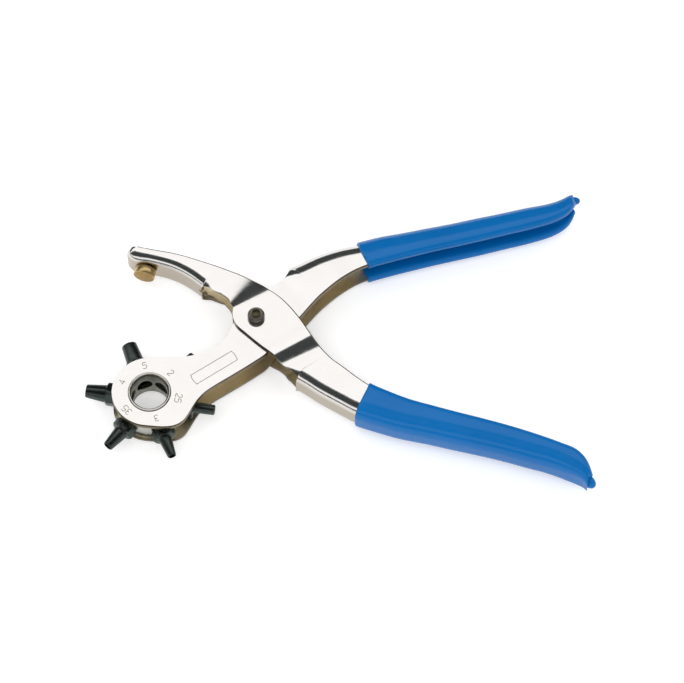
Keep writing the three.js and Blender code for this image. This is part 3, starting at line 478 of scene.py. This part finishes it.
def turned(profile, sides=72, place=None, hexed=None, turn=0.0):
    """A round body about +Z from (radius, height) points, moved by `place`. Between the two
    profile rows of `hexed` = (first, last, apothem) it is ground to a hexagon."""
    vertices = []
    rings = []
    for row, (r, z) in enumerate(profile):
        if r == 0:
            rings.append([len(vertices)])
            vertices.append(Vector((0, 0, z)))
            continue
        rings.append(list(range(len(vertices), len(vertices) + sides)))
        for k in range(sides):
            a = 2 * math.pi * k / sides
            radius = r
            if hexed and hexed[0] <= row <= hexed[1]:
                off = (a - math.radians(turn)) % (math.pi / 3) - math.pi / 6
                radius = min(r, hexed[2] / math.cos(off))
            vertices.append(Vector((radius * math.cos(a), radius * math.sin(a), z)))
    faces = []
    closed = profile[0] == profile[-1]
    if closed:
        rings[-1] = rings[0]
        vertices = vertices[:len(vertices) - sides]
    marks = []
    for row, (a, b) in enumerate(zip(rings, rings[1:])):
        for k in range(sides):
            n = (k + 1) % sides
            if len(a) == 1 and len(b) == 1:
                continue
            if len(a) == 1:
                faces.append((a[0], b[k], b[n]))
            elif len(b) == 1:
                faces.append((a[k], b[0], a[n]))
            else:
                faces.append((a[k], b[k], b[n], a[n]))
            marks.append(row)
    if place is not None:
        vertices = [place @ v for v in vertices]
    return vertices, faces, marks


def upright(x, y):
    """A place on the middle plane, with +Z up."""
    return Matrix.Translation((x, y, MID))


def lying(origin, direction):
    """Turns +Z to the given direction and moves the origin there."""
    return Matrix.Translation(origin) @ direction.to_track_quat("Z", "Y").to_matrix().to_4x4()


def on_station(degrees):
    """A place on the wheel's axis, with +Z along the punch in that direction."""
    a = math.radians(degrees)
    return lying(Vector((WHEEL.x, WHEEL.y, MID - PUNCH_DROP)),
                 Vector((math.cos(a), math.sin(a), 0)))


# ---------------------------------------------------------------- channels


def curve_through(points):
    """Centripetal Catmull-Rom curve through points; the parameter counts them."""
    points = [Vector(p) for p in points]
    padded = [2 * points[0] - points[1], *points, 2 * points[-1] - points[-2]]

    def at(u):
        i = min(int(u), len(points) - 2)
        w = u - i
        p0, p1, p2, p3 = padded[i:i + 4]
        d0 = max((p1 - p0).length ** 0.5, 1e-4)
        d1 = max((p2 - p1).length ** 0.5, 1e-4)
        d2 = max((p3 - p2).length ** 0.5, 1e-4)
        t1 = ((p1 - p0) / d0 - (p2 - p0) / (d0 + d1) + (p2 - p1) / d1) * d1
        t2 = ((p2 - p1) / d1 - (p3 - p1) / (d1 + d2) + (p3 - p2) / d2) * d1
        c2 = 3 * (p2 - p1) - 2 * t1 - t2
        c3 = 2 * (p1 - p2) + t1 + t2
        return p1 + t1 * w + c2 * w * w + c3 * w ** 3
    return at


def station_reader(rows):
    """Gives the section anywhere along an arm; the parameter counts the stations."""
    free = curve_through([(*r[0], r[3]) for r in rows])
    flat = curve_through([(*r[1], r[3]) for r in rows])

    def read(u):
        i = min(int(u), len(rows) - 2)
        w = u - i

        def mix(k):
            return rows[i][k] * (1 - w) + rows[i + 1][k] * w
        out = math.radians(mix(2))
        f, g = free(u), flat(u)
        return {
            "free": Vector((f.x, f.y, 0)),
            "flat": Vector((g.x, g.y, 0)),
            "out": Vector((math.cos(out), math.sin(out), 0)),
            "half": f.z,
            "bend": mix(4),
            "band": mix(5),
            "lift": mix(6),
        }
    return read


# steps round the bend, across half the web, round a coated edge and across a coated face
ARC_STEPS = 10
WEB_STEPS = 3
RIM_STEPS = 5
FACE_STEPS = 6


def bare_edge(s, inset, _lift):
    """Steel: the cheek's flat face; at its free edge the outer corner is rounded off."""
    across = (s["flat"] - s["free"]).normalized()
    points = []
    for turn in (0, 45, 90):
        a = math.radians(turn)
        p = s["free"] + across * (EDGE_R * (1 - math.cos(a)))
        drop = EDGE_R * (1 - math.sin(a)) if inset < SHEET / 2 else 0
        points.append(Vector((p.x, p.y, s["half"] - inset - drop)))
    return points, 0.0


def coated_edge(s, inset, lift, slopes):
    """Coating: a round free edge and a face that rises and falls by the two slopes."""
    across = (s["flat"] - s["free"]).normalized()
    radius = SHEET / 2 + COAT
    centre = s["free"] + across * (radius - EDGE_COAT)
    middle = s["half"] - SHEET / 2
    above = 1 if inset < SHEET / 2 else -1
    points = []
    for k in range(RIM_STEPS + 1):
        a = math.pi / 2 * k / RIM_STEPS
        p = centre - across * (radius * math.cos(a))
        points.append(Vector((p.x, p.y, middle + above * radius * math.sin(a))))
    rise, fall = slopes if above > 0 else (0.0, 0.0)
    lead = math.atan(fall)
    r = s["bend"] - inset
    end = s["flat"] - across * lift + s["out"] * (r * math.sin(lead))
    drop = -r * (1 - math.cos(lead))
    first = points[-1].copy()
    length = math.dist(first.xy, end.xy)
    for k in range(1, FACE_STEPS):
        w = k / FACE_STEPS
        height = (length * (w ** 3 - 2 * w ** 2 + w) * rise + drop * (3 * w * w - 2 * w ** 3)
                  - length * (w ** 3 - w ** 2) * fall)
        p = first.xy.lerp(end.xy, w)
        points.append(Vector((p.x, p.y, first.z + height)))
    return points, lead


def half_section(s, inset, lift, edge):
    """One cheek from its free edge round the bend to the middle of the web."""
    across = (s["flat"] - s["free"]).normalized()
    flat = s["flat"] - across * lift
    points, lead = edge(s, inset, lift)
    arc = s["bend"] * math.pi / 2
    begin = s["bend"] * lead
    lengths = [begin + (arc - begin) * k / ARC_STEPS for k in range(ARC_STEPS + 1)]
    web = s["half"] - s["bend"]
    lengths += [arc + web * k / WEB_STEPS for k in range(1, WEB_STEPS + 1)]
    r = s["bend"] - inset
    for length in lengths:
        reach = length * s["band"]
        turn = min(reach, arc) / s["bend"]
        p = flat + s["out"] * (r * math.sin(turn))
        z = s["half"] - s["bend"] + r * math.cos(turn) - max(0, reach - arc)
        points.append(Vector((p.x, p.y, z)))
    return points


def channel(read, places, outer, inner, edge):
    """Grid of a closed channel: material 0 is its outside, 1 its inside and 2 its cut edges.
    `outer` may be a function of the place, for a coating that starts thin."""
    stations = [read(u) for u in places]
    count = len(places) - 1
    vertices = []
    for u, s in zip(places, stations):
        for side in (1, -1):
            for inset in (outer(u) if callable(outer) else outer, inner):
                section = half_section(s, inset, 0 if side > 0 else s["lift"], edge)
                for p in section:
                    vertices.append(Vector((p.x, p.y, MID + side * p.z)))
    width = len(section)

    def at(i, side, layer, j):
        return ((i * 2 + side) * 2 + layer) * width + j
    faces = []
    marks = []

    def quad(a, b, c, d, mark):
        faces.append((a, b, c, d))
        marks.append(mark)
    for side in (0, 1):
        for i in range(count):
            for layer in (0, 1):
                for j in range(width - 1):
                    mark = 2 if layer == 0 and j < 2 else layer
                    quad(at(i, side, layer, j), at(i + 1, side, layer, j),
                         at(i + 1, side, layer, j + 1), at(i, side, layer, j + 1), mark)
            quad(at(i, side, 0, 0), at(i + 1, side, 0, 0),
                 at(i + 1, side, 1, 0), at(i, side, 1, 0), 2)
            if stations[i]["band"] < 1 or stations[i + 1]["band"] < 1:
                j = width - 1
                quad(at(i, side, 0, j), at(i + 1, side, 0, j),
                     at(i + 1, side, 1, j), at(i, side, 1, j), 2)
        for i in (0, count):
            for j in range(width - 1):
                quad(at(i, side, 0, j), at(i, side, 0, j + 1),
                     at(i, side, 1, j + 1), at(i, side, 1, j), 2)
    return vertices, faces, marks


# ---------------------------------------------------------------- arms and grips
read_anvil_arm = station_reader(ANVIL_ARM + ANVIL_ARM_TAIL)
read_wheel_arm = station_reader(WHEEL_ARM + WHEEL_ARM_TAIL)


def round_tool(r, low, high, place, material=None):
    v, f, _ = turned([(0, low), (r, low), (r, high), (0, high)], 72, place)
    return tool(v, f, material)


def seat_tool():
    """Room for the anvil, its shank and its riveted end."""
    v, f, _ = turned([
        (0, 0), (4.95, 0), (4.95, 4.05), (2.1, 4.05), (2.1, 5.9), (3.6, 5.9), (3.6, 10), (0, 10),
    ], 48, lying(ANVIL, ANVIL_UP))
    return tool(v, f)


def relief_tool():
    """Round relief hole through the jaw's web, near the end of the window."""
    end = read_anvil_arm(RELIEF_STATION)
    spot = end["flat"] + end["out"] * end["bend"] + Vector((0, 0, MID + RELIEF_OFF_MIDDLE))
    return round_tool(RELIEF_R, -4, 1, lying(spot, end["out"]), PLATE_INSIDE_PAINTED_LIGHT)


def spread(start, end, per_row=8):
    """Evenly spaced places from start to end, counted in stations."""
    count = round((end - start) * per_row)
    return [start + (end - start) * i / count for i in range(count + 1)]


def steel_arm(node, read, last, body, cutters):
    """A pressed arm with its rivet hole; last is its last station."""
    v, f, m = channel(read, spread(0, last), 0, SHEET, bare_edge)
    rivet_hole = round_tool(RIVET_HOLE_R, -THROUGH, THROUGH, upright(0, 0))
    finish_mesh(node + "_steel", v, f, [PLATE, PLATE_INSIDE_PAINTED_LIGHT, PLATE_EDGE_PAINTED_SHADE], body, node, m,
                bevel=STEEL_BEVEL, bevel_mark=2, angle=FLAT_ANGLE, even_flats=True,
                cutters=[rivet_hole, *cutters])


steel_arm("anvil_arm", read_anvil_arm, len(ANVIL_ARM) - 1, "anvil_arm_side",
          [seat_tool(), relief_tool()])
steel_arm("wheel_arm", read_wheel_arm, len(WHEEL_ARM) - 1, "wheel_arm_side",
          [round_tool(HUB_R + HUB_GAP, -THROUGH, THROUGH, upright(WHEEL.x, WHEEL.y))])


def grip(name, read, start, steel_end, tail, slopes, body):
    """The dipped coating, closed over the steel; it starts with a thin rolled lip. Each row of
    the lip is a distance from the start, in stations, and a share of the full thickness."""
    past_steel = 0.12
    lip = [(0, 0.35), (0.015, 0.62), (0.04, 0.84), (0.08, 0.96), (0.125, 1.0)]

    def outer(u):
        for (a, low), (b, high) in zip(lip, lip[1:]):
            if u - start <= b:
                return -COAT * (low + (high - low) * (u - start - a) / (b - a))
        return -COAT

    def edge(s, inset, lift):
        points, lead = coated_edge(s, inset, lift, slopes)
        thin = -inset - COAT if inset < 0 else 0
        return [p + Vector((0, 0, thin)) if k > RIM_STEPS else p
                for k, p in enumerate(points)], lead

    places = [start + step for step, _ in lip[:-1]] + spread(start + lip[-1][0], steel_end + tail)
    v, f, _ = channel(read, places, outer, SHEET + COAT, edge)
    room, rf, _ = channel(read, spread(start - 1, steel_end + past_steel), -SEAT, SHEET + SEAT,
                          bare_edge)
    finish_mesh(name + "_coating", v, f, VINYL, body, name, angle=COATING_ANGLE,
                cutters=[tool(room, rf, VINYL)])


grip("wheel_arm_grip", read_wheel_arm, WHEEL_GRIP_FROM, len(WHEEL_ARM) - 1,
     len(WHEEL_ARM_TAIL), (0.20, 0.20), "wheel_arm_side")
grip("anvil_arm_grip", read_anvil_arm, ANVIL_GRIP_FROM, len(ANVIL_ARM) - 1,
     len(ANVIL_ARM_TAIL), (0.04, 0.24), "anvil_arm_side")


def drip(x, y, heading, r):
    """The drop that the dipping leaves at a grip's end."""
    a = math.radians(heading)
    place = lying(Vector((x, y, MID)), Vector((math.cos(a), math.sin(a), 0)))
    shape = [(0, -1.3), (0.84, -1.16), (1, -0.42), (0.97, 0.16), (0.79, 0.68), (0.53, 1.05),
             (0.26, 1.2), (0, 1.24)]
    v, f, _ = turned([(r * x, r * z) for x, z in shape], 32, place)
    return v, f


for name, x, y, heading, r, body in (
    ("wheel_arm_grip_drip", 142.7, 63.3, 5, 1.9, "wheel_arm_side"),
    ("anvil_arm_grip_drip", 145.2, -75.0, -45, 2.6, "anvil_arm_side"),
):
    v, f = drip(x, y, heading, r)
    finish_mesh(name, v, f, VINYL, body, angle=COATING_ANGLE)

# ---------------------------------------------------------------- anvil
v, f, m = turned([
    (0, 0), (4.5, 0), (4.7, 0.08), (4.8, 0.28), (4.8, 3.5), (4.7, 3.7), (4.5, 3.78),
    (4.2, 3.8), (4.2, 4.0), (2.0, 4.0), (2.0, 6.0), (2.95, 6.05), (2.9, 6.4), (2.2, 7.0),
    (1.1, 7.1), (0, 7.15),
], 72, lying(ANVIL, ANVIL_UP))
finish_mesh("anvil_button", v, f, [BRASS, BRASS_FACE], "anvil_arm_side", "anvil",
            [1 if row == 0 else 0 for row in m])

# ---------------------------------------------------------------- pivot
# the rivet's profile goes from its back head to its dish, whose floor begins at row DISH_FROM
TOP = LAP_HALF + 0.05
DISH_FROM = 16
v, f, m = turned([
    (0, -MID), (5.1, -MID), (5.45, 0.15 - MID), (5.6, 0.5 - MID), (5.6, 2.0 - MID),
    (SHANK_R, 2.0 - MID), (SHANK_R, TOP), (3.5, TOP), (3.7, TOP + 0.2), (3.8, TOP + 0.7),
    (3.8, TOP + 1.9), (3.7, TOP + 2.3), (3.05, TOP + 3.5), (2.8, TOP + 3.7),
    (2.0, TOP + 3.7), (1.85, TOP + 3.6), (1.75, TOP + 2.7), (1.4, TOP + 2.45), (0, TOP + 2.35),
], 72, upright(0, 0))
finish_mesh("pivot_rivet_steel", v, f, [RIVET_STEEL, RIVET_DISH], "anvil_arm_side",
            "pivot_rivet", [1 if row >= DISH_FROM else 0 for row in m])

SLEEVE_HALF = HEAD_HALF - SHEET - 0.1
v, f, _ = turned([
    (SLEEVE_BORE_R, -SLEEVE_HALF), (4.8, -SLEEVE_HALF), (SLEEVE_R, 0.2 - SLEEVE_HALF),
    (SLEEVE_R, SLEEVE_HALF - 0.2), (4.8, SLEEVE_HALF), (SLEEVE_BORE_R, SLEEVE_HALF),
    (SLEEVE_BORE_R, -SLEEVE_HALF),
], 72, upright(0, 0))
finish_mesh("pivot_sleeve_steel", v, f, SPRING_STEEL, "wheel_arm_side", "pivot_sleeve")


def tube_along(points, r, sides=12):
    """A closed wire along points, with frames turned as little as possible."""
    vertices = []
    faces = []
    side = None
    for i, p in enumerate(points):
        ahead = points[min(i + 1, len(points) - 1)] - points[max(i - 1, 0)]
        ahead.normalize()
        if side is None:
            side = ahead.orthogonal().normalized()
        side = (side - ahead * side.dot(ahead)).normalized()
        up = ahead.cross(side)
        for k in range(sides):
            a = 2 * math.pi * k / sides
            vertices.append(p + side * (r * math.cos(a)) + up * (r * math.sin(a)))
    for i in range(len(points) - 1):
        for k in range(sides):
            n = (k + 1) % sides
            faces.append((i * sides + k, i * sides + n, (i + 1) * sides + n, (i + 1) * sides + k))
    faces.append(tuple(range(sides)))
    last = (len(points) - 1) * sides
    faces.append(tuple(last + k for k in range(sides)))
    return vertices, faces


# torsion spring round the sleeve: a leg in the anvil arm, the coil, a leg in the wheel arm
COIL_R = 6.0
WIRE_R = 0.7
COIL_TURNS = 3.75
COIL_PITCH = 1.7
COIL_START_DEG = 46
COIL_STEPS = 36
COIL_LOW = -COIL_TURNS * COIL_PITCH / 2
ANVIL_LEG_END = (17.2, -8.2)
WHEEL_LEG_END = (24.2, 25.9)
WIRE_ANGLE = 60


def spring_route():
    points = [Vector((*ANVIL_LEG_END, MID + COIL_LOW))]
    for i in range(round(COIL_TURNS * COIL_STEPS) + 1):
        a = math.radians(COIL_START_DEG) + 2 * math.pi * i / COIL_STEPS
        points.append(Vector((COIL_R * math.cos(a), COIL_R * math.sin(a),
                              MID + COIL_LOW + i * COIL_PITCH / COIL_STEPS)))
    points.append(Vector((*WHEEL_LEG_END, MID - COIL_LOW)))
    return points


v, f = tube_along(spring_route(), WIRE_R)
finish_mesh("opening_spring_wire", v, f, SPRING_STEEL, "wheel_arm_side", "opening_spring",
            angle=WIRE_ANGLE)

# ---------------------------------------------------------------- turret


def radial_tool(r, low, high, degrees, material=None):
    """A round tool along a punch, from low to high off the wheel's axis."""
    return round_tool(r, low, high, on_station(degrees), material)


STATIONS = [FIRST_PUNCH_DEG + k * STATION_DEG for k in range(len(PUNCHES))]
centre = upright(WHEEL.x, WHEEL.y)
BORE_ROW = 9
v, f, m = turned([
    (HUB_BORE_R, -8.15), (HUB_BORE_R + 0.25, -8.5), (HUB_BORE_R + 0.6, -HUB_HALF),
    (HUB_R - 0.25, -HUB_HALF), (HUB_R, 0.25 - HUB_HALF), (HUB_R, HUB_HALF - 0.25),
    (HUB_R - 0.25, HUB_HALF), (HUB_BORE_R + 0.6, HUB_HALF), (HUB_BORE_R + 0.25, 8.5),
    (HUB_BORE_R, 8.15), (HUB_BORE_R, -8.15),
], 120, centre)
finish_mesh("hub_tube_steel", v, f, [HUB_STEEL, BORE_STEEL], "turret", "hub_tube",
            [1 if row == BORE_ROW else 0 for row in m], bevel=0.08,
            cutters=[radial_tool(HUB_PORT_R, 5, 12, d, BORE_STEEL) for d in STATIONS])

# the wheel's faces; a groove runs round its rim
FRONT = HEAD_HALF - SHEET - 0.2
BACK = -5.3
v, f, _ = turned([
    (HUB_R + 0.1, BACK), (WHEEL_R - 0.4, BACK), (WHEEL_R, BACK + 0.4),
    (WHEEL_R, FRONT - 3.3), (WHEEL_R - 0.45, FRONT - 3.1), (WHEEL_R - 0.45, FRONT - 2.9),
    (WHEEL_R, FRONT - 2.7), (WHEEL_R, FRONT - 0.4), (WHEEL_R - 0.4, FRONT),
    (HUB_R + 0.1, FRONT), (HUB_R + 0.1, BACK),
], 120, centre)
cutters = [radial_tool(SOCKET_R, 8, 17, d) for d in STATIONS]
for d in STATIONS:
    between = math.radians(d + STATION_DEG / 2)
    x = WHEEL.x + DIMPLE_RING_R * math.cos(between)
    y = WHEEL.y + DIMPLE_RING_R * math.sin(between)
    cutters.append(round_tool(DIMPLE_R, BACK - 1, BACK + 1, upright(x, y)))
finish_mesh("turret_wheel_steel", v, f, WHEEL_STEEL, "turret", "turret_wheel", bevel=0.12,
            cutters=cutters)

for (name, bore, root, edge, turn), degrees in zip(PUNCHES, STATIONS):
    profile = [
        (bore / 2 + 0.35, PUNCH_BACK), (3.1, PUNCH_BACK), (3.3, PUNCH_BACK + 0.25), (3.3, 15.25),
        # hex collar
        (4.75, 15.25), (5.35, 15.7), (5.35, 18.9), (4.75, 19.4), (4.45, 19.55),
        (root + 0.5, 19.6), (root + 0.15, 19.75), (root, 20.0), (root, 20.6),
        (edge + 0.14, PUNCH_TIP - 0.6), (edge + 0.06, PUNCH_TIP - 0.25),
        (edge - 0.15, PUNCH_TIP), (bore / 2 + 0.12, PUNCH_TIP), (bore / 2, PUNCH_TIP - 0.2),
        (bore / 2, 21.5), (bore / 2 + 0.35, 20.1), (bore / 2 + 0.35, PUNCH_BACK),
    ]
    v, f, _ = turned(profile, 96, on_station(degrees), (4, 8, HEX_HALF), turn)
    finish_mesh(name + "_tube", v, f, BLACKENED, "turret", name, angle=30)

for node in ("detent_washer", "detent_key_pin"):
    data = bpy.data.objects[node].data
    data.materials.clear()
    data.materials.append(SPRING_STEEL)

# ---------------------------------------------------------------- marks on the front cheek
# each digit is a line through points, in shares of DIGIT_W and DIGIT_H
DIGITS = {
    "2": [(0.02, 0.78), (0.12, 0.95), (0.32, 1), (0.52, 0.9), (0.56, 0.7), (0.44, 0.48),
          (0.02, 0.02), (0.6, 0.02)],
    "3": [(0.04, 0.9), (0.26, 1), (0.5, 0.9), (0.53, 0.72), (0.4, 0.57), (0.24, 0.54),
          (0.46, 0.49), (0.58, 0.3), (0.5, 0.08), (0.25, 0), (0.02, 0.1)],
    "4": [(0.42, 0), (0.42, 1), (0.02, 0.32), (0.6, 0.32)],
    "5": [(0.55, 1), (0.1, 1), (0.05, 0.56), (0.3, 0.63), (0.54, 0.52), (0.59, 0.28),
          (0.45, 0.06), (0.2, 0), (0.0, 0.1)],
}
# each label and its direction from the wheel's axis
LABELS = [("5", 100.8), ("4", 158), ("35", 221.7), ("3", 284.8), ("25", 346.9), ("2", 45.3)]
LABEL_R = 13.0
DIGIT_H = 2.9
DIGIT_W = 3.1
DIGIT_SPACE = 0.6
DIGIT_GAP = 0.5
STROKE = 0.27
MARK_TOP = HEAD_HALF + 0.015
MARK_LOW = HEAD_HALF - 0.1


def stroke(points, place, closed=False):
    """A flat line of even width through points in the plane."""
    count = len(points)
    flat = [Vector((p[0], p[1], 0)) for p in points]
    vertices = []
    for i, p in enumerate(flat):
        if closed:
            before, after = flat[i - 1], flat[(i + 1) % count]
        else:
            before, after = flat[max(i - 1, 0)], flat[min(i + 1, count - 1)]
        ins = (p - before).normalized() if i or closed else (after - p).normalized()
        outs = (after - p).normalized() if i < count - 1 or closed else ins
        along = (ins + outs).normalized()
        side = Vector((-along.y, along.x, 0)) * (STROKE / 2 / max(along.dot(ins), 0.5))
        for z in (MARK_TOP, MARK_LOW):
            vertices.append(place @ (p + side + Vector((0, 0, z))))
            vertices.append(place @ (p - side + Vector((0, 0, z))))
    faces = []
    runs = count if closed else count - 1
    for i in range(runs):
        a, b = 4 * i, 4 * ((i + 1) % count)
        for j, k in ((0, 1), (1, 3), (3, 2), (2, 0)):
            faces.append((a + j, a + k, b + k, b + j))
    if not closed:
        faces.append((0, 1, 3, 2))
        e = 4 * (count - 1)
        faces.append((e, e + 1, e + 3, e + 2))
    return vertices, faces


def rounder(points, steps=4):
    """More points along a smooth curve through the given ones."""
    at = curve_through(points)
    last = len(points) - 1
    return [tuple(at(i / steps)) for i in range(last * steps + 1)]


def marks_mesh(name, strokes):
    """One piece from several strokes."""
    vertices = []
    faces = []
    for v, f in strokes:
        base = len(vertices)
        vertices += v
        faces += [tuple(base + i for i in face) for face in f]
    finish_mesh(name, vertices, faces, MARKS, "wheel_arm_side")


for label, degrees in LABELS:
    a = math.radians(degrees)
    spot = Matrix.Translation((WHEEL.x + LABEL_R * math.cos(a),
                               WHEEL.y + LABEL_R * math.sin(a), MID))
    spot = spot @ Matrix.Rotation(a - math.pi / 2, 4, "Z")
    strokes = []
    width = DIGIT_SPACE * DIGIT_W * len(label) + DIGIT_GAP * (len(label) - 1)
    for i, digit in enumerate(label):
        shift = Vector((i * (DIGIT_SPACE * DIGIT_W + DIGIT_GAP) - width / 2, -DIGIT_H / 2))
        path = [(x * DIGIT_W + shift.x, y * DIGIT_H + shift.y) for x, y in DIGITS[digit]]
        strokes.append(stroke(path if digit == "4" else rounder(path), spot))
    marks_mesh("size_" + label, strokes)

LABEL_FRAME = [(-28.5, -27.5), (-10.8, -15.7), (-9.6, -16.9), (-8.7, -18.4), (-8.1, -19.9),
               (-25.7, -31.7), (-26.9, -30.5), (-27.8, -29.1)]
marks_mesh("empty_label_frame", [stroke(LABEL_FRAME, Matrix.Translation((0, 0, MID)), True)])

# ---------------------------------------------------------------- floor, light, camera


def floor_material():
    material, tree, shader = new_material("pale_floor")
    tone = ramp(tree, noise(tree, 4, 2), 0, 1)
    tree.links.new(mix_colour(tree, tone, (0.84, 0.84, 0.84), (0.86, 0.86, 0.86)),
                   shader.inputs["Base Color"])
    shader.inputs["Roughness"].default_value = 0.9
    shader.inputs["Specular IOR Level"].default_value = 0.1
    shader.inputs["Emission Color"].default_value = (1.0, 1.0, 1.0, 1)
    rays = tree.nodes.new("ShaderNodeLightPath")
    tree.links.new(ramp(tree, rays.outputs["Is Glossy Ray"], 0.32, 0.1, 0, 1),
                   shader.inputs["Emission Strength"])
    return material


FLOOR_REACH = 6.0
corners = [(x * FLOOR_REACH, y * FLOOR_REACH, FLOOR_Z)
           for x, y in ((-1, -1), (1, -1), (1, 1), (-1, 1))]
floor_mesh = bpy.data.meshes.new("floor")
floor_mesh.from_pydata(corners, [], [(0, 1, 2, 3)])
floor_mesh.materials.append(floor_material())
new_object("floor", floor_mesh)

# The studio: even light for matt surfaces; polished ones see softboxes round the table. Each
# stop is the angle in degrees from the +Y horizon over the zenith, and the brightness there.
EVEN_LIGHT = 0.92
LIGHT = (1.0, 0.99, 0.98)
DARK = (0.85, 1.0, 0.97)
STUDIO = [
    (0, 0.05, DARK), (52, 0.04, DARK), (57, 1.15, LIGHT), (79, 1.15, LIGHT),
    (84, 0.045, DARK), (136, 0.035, DARK), (142, 1.05, LIGHT), (160, 0.95, LIGHT),
    (164, 0.06, DARK), (178, 0.06, DARK), (180, 0.3, LIGHT),
]


def studio():
    world = bpy.data.worlds.new("studio")
    bpy.context.scene.world = world
    world.use_nodes = True
    tree = world.node_tree
    tree.nodes.clear()
    output = tree.nodes.new("ShaderNodeOutputWorld")
    coords = tree.nodes.new("ShaderNodeTexCoord")
    parts = tree.nodes.new("ShaderNodeSeparateXYZ")
    tree.links.new(coords.outputs["Generated"], parts.inputs["Vector"])
    angle = tree.nodes.new("ShaderNodeMath")
    angle.operation = "ARCTAN2"
    tree.links.new(parts.outputs["Z"], angle.inputs[0])
    tree.links.new(parts.outputs["Y"], angle.inputs[1])
    scaled = tree.nodes.new("ShaderNodeMath")
    scaled.operation = "DIVIDE"
    scaled.inputs[1].default_value = math.pi
    tree.links.new(angle.outputs["Value"], scaled.inputs[0])
    steps = tree.nodes.new("ShaderNodeValToRGB")
    stops = steps.color_ramp.elements
    while len(stops) > 1:
        stops.remove(stops[-1])
    for i, (degrees, level, tint) in enumerate(STUDIO):
        stop = stops[0] if i == 0 else stops.new(degrees / 180)
        stop.position = degrees / 180
        stop.color = (*(level * c for c in tint), 1)
    tree.links.new(scaled.outputs["Value"], steps.inputs["Fac"])
    even = tree.nodes.new("ShaderNodeBackground")
    even.inputs["Color"].default_value = (1.0, 1.0, 1.0, 1)
    even.inputs["Strength"].default_value = EVEN_LIGHT
    boxes = tree.nodes.new("ShaderNodeBackground")
    tree.links.new(steps.outputs["Color"], boxes.inputs["Color"])
    rays = tree.nodes.new("ShaderNodeLightPath")
    choose = tree.nodes.new("ShaderNodeMixShader")
    tree.links.new(rays.outputs["Is Glossy Ray"], choose.inputs["Fac"])
    tree.links.new(even.outputs["Background"], choose.inputs[1])
    tree.links.new(boxes.outputs["Background"], choose.inputs[2])
    tree.links.new(choose.outputs["Shader"], output.inputs["Surface"])


studio()


def softbox(name, spot, aim, size, power):
    """A square lamp that polished surfaces don't mirror."""
    lamp = bpy.data.lights.new(name, "AREA")
    lamp.shape = "SQUARE"
    lamp.size = size
    lamp.energy = power
    holder = new_object(name, lamp)
    holder.location = spot
    holder.rotation_euler = (aim - spot).to_track_quat("-Z", "Y").to_euler()
    holder.visible_glossy = False


KEY_FROM = Vector((-0.25, -0.55, 1.7))
KEY_SIZE = 1.2
KEY_POWER = 8
middle = (CAD_BOX[0] + CAD_BOX[1]) / 2
softbox("key", middle + KEY_FROM, middle, KEY_SIZE, KEY_POWER)

CAMERA_ELEVATION = math.radians(64)
CAMERA_DISTANCE = 1.63
LENS = 194.74
AIM = Vector((0.037797, -0.00974, MID * MM + 0.0055))
back = Vector((0, -math.cos(CAMERA_ELEVATION), math.sin(CAMERA_ELEVATION)))
camera = bpy.data.cameras.new("camera")
camera.lens = LENS
camera.clip_start = 0.05
camera.clip_end = 50
holder = new_object("camera", camera)
holder.location = AIM + back * CAMERA_DISTANCE
holder.rotation_euler = (-back).to_track_quat("-Z", "Y").to_euler()
bpy.context.scene.camera = holder
bpy.context.scene.view_settings.view_transform = "Standard"
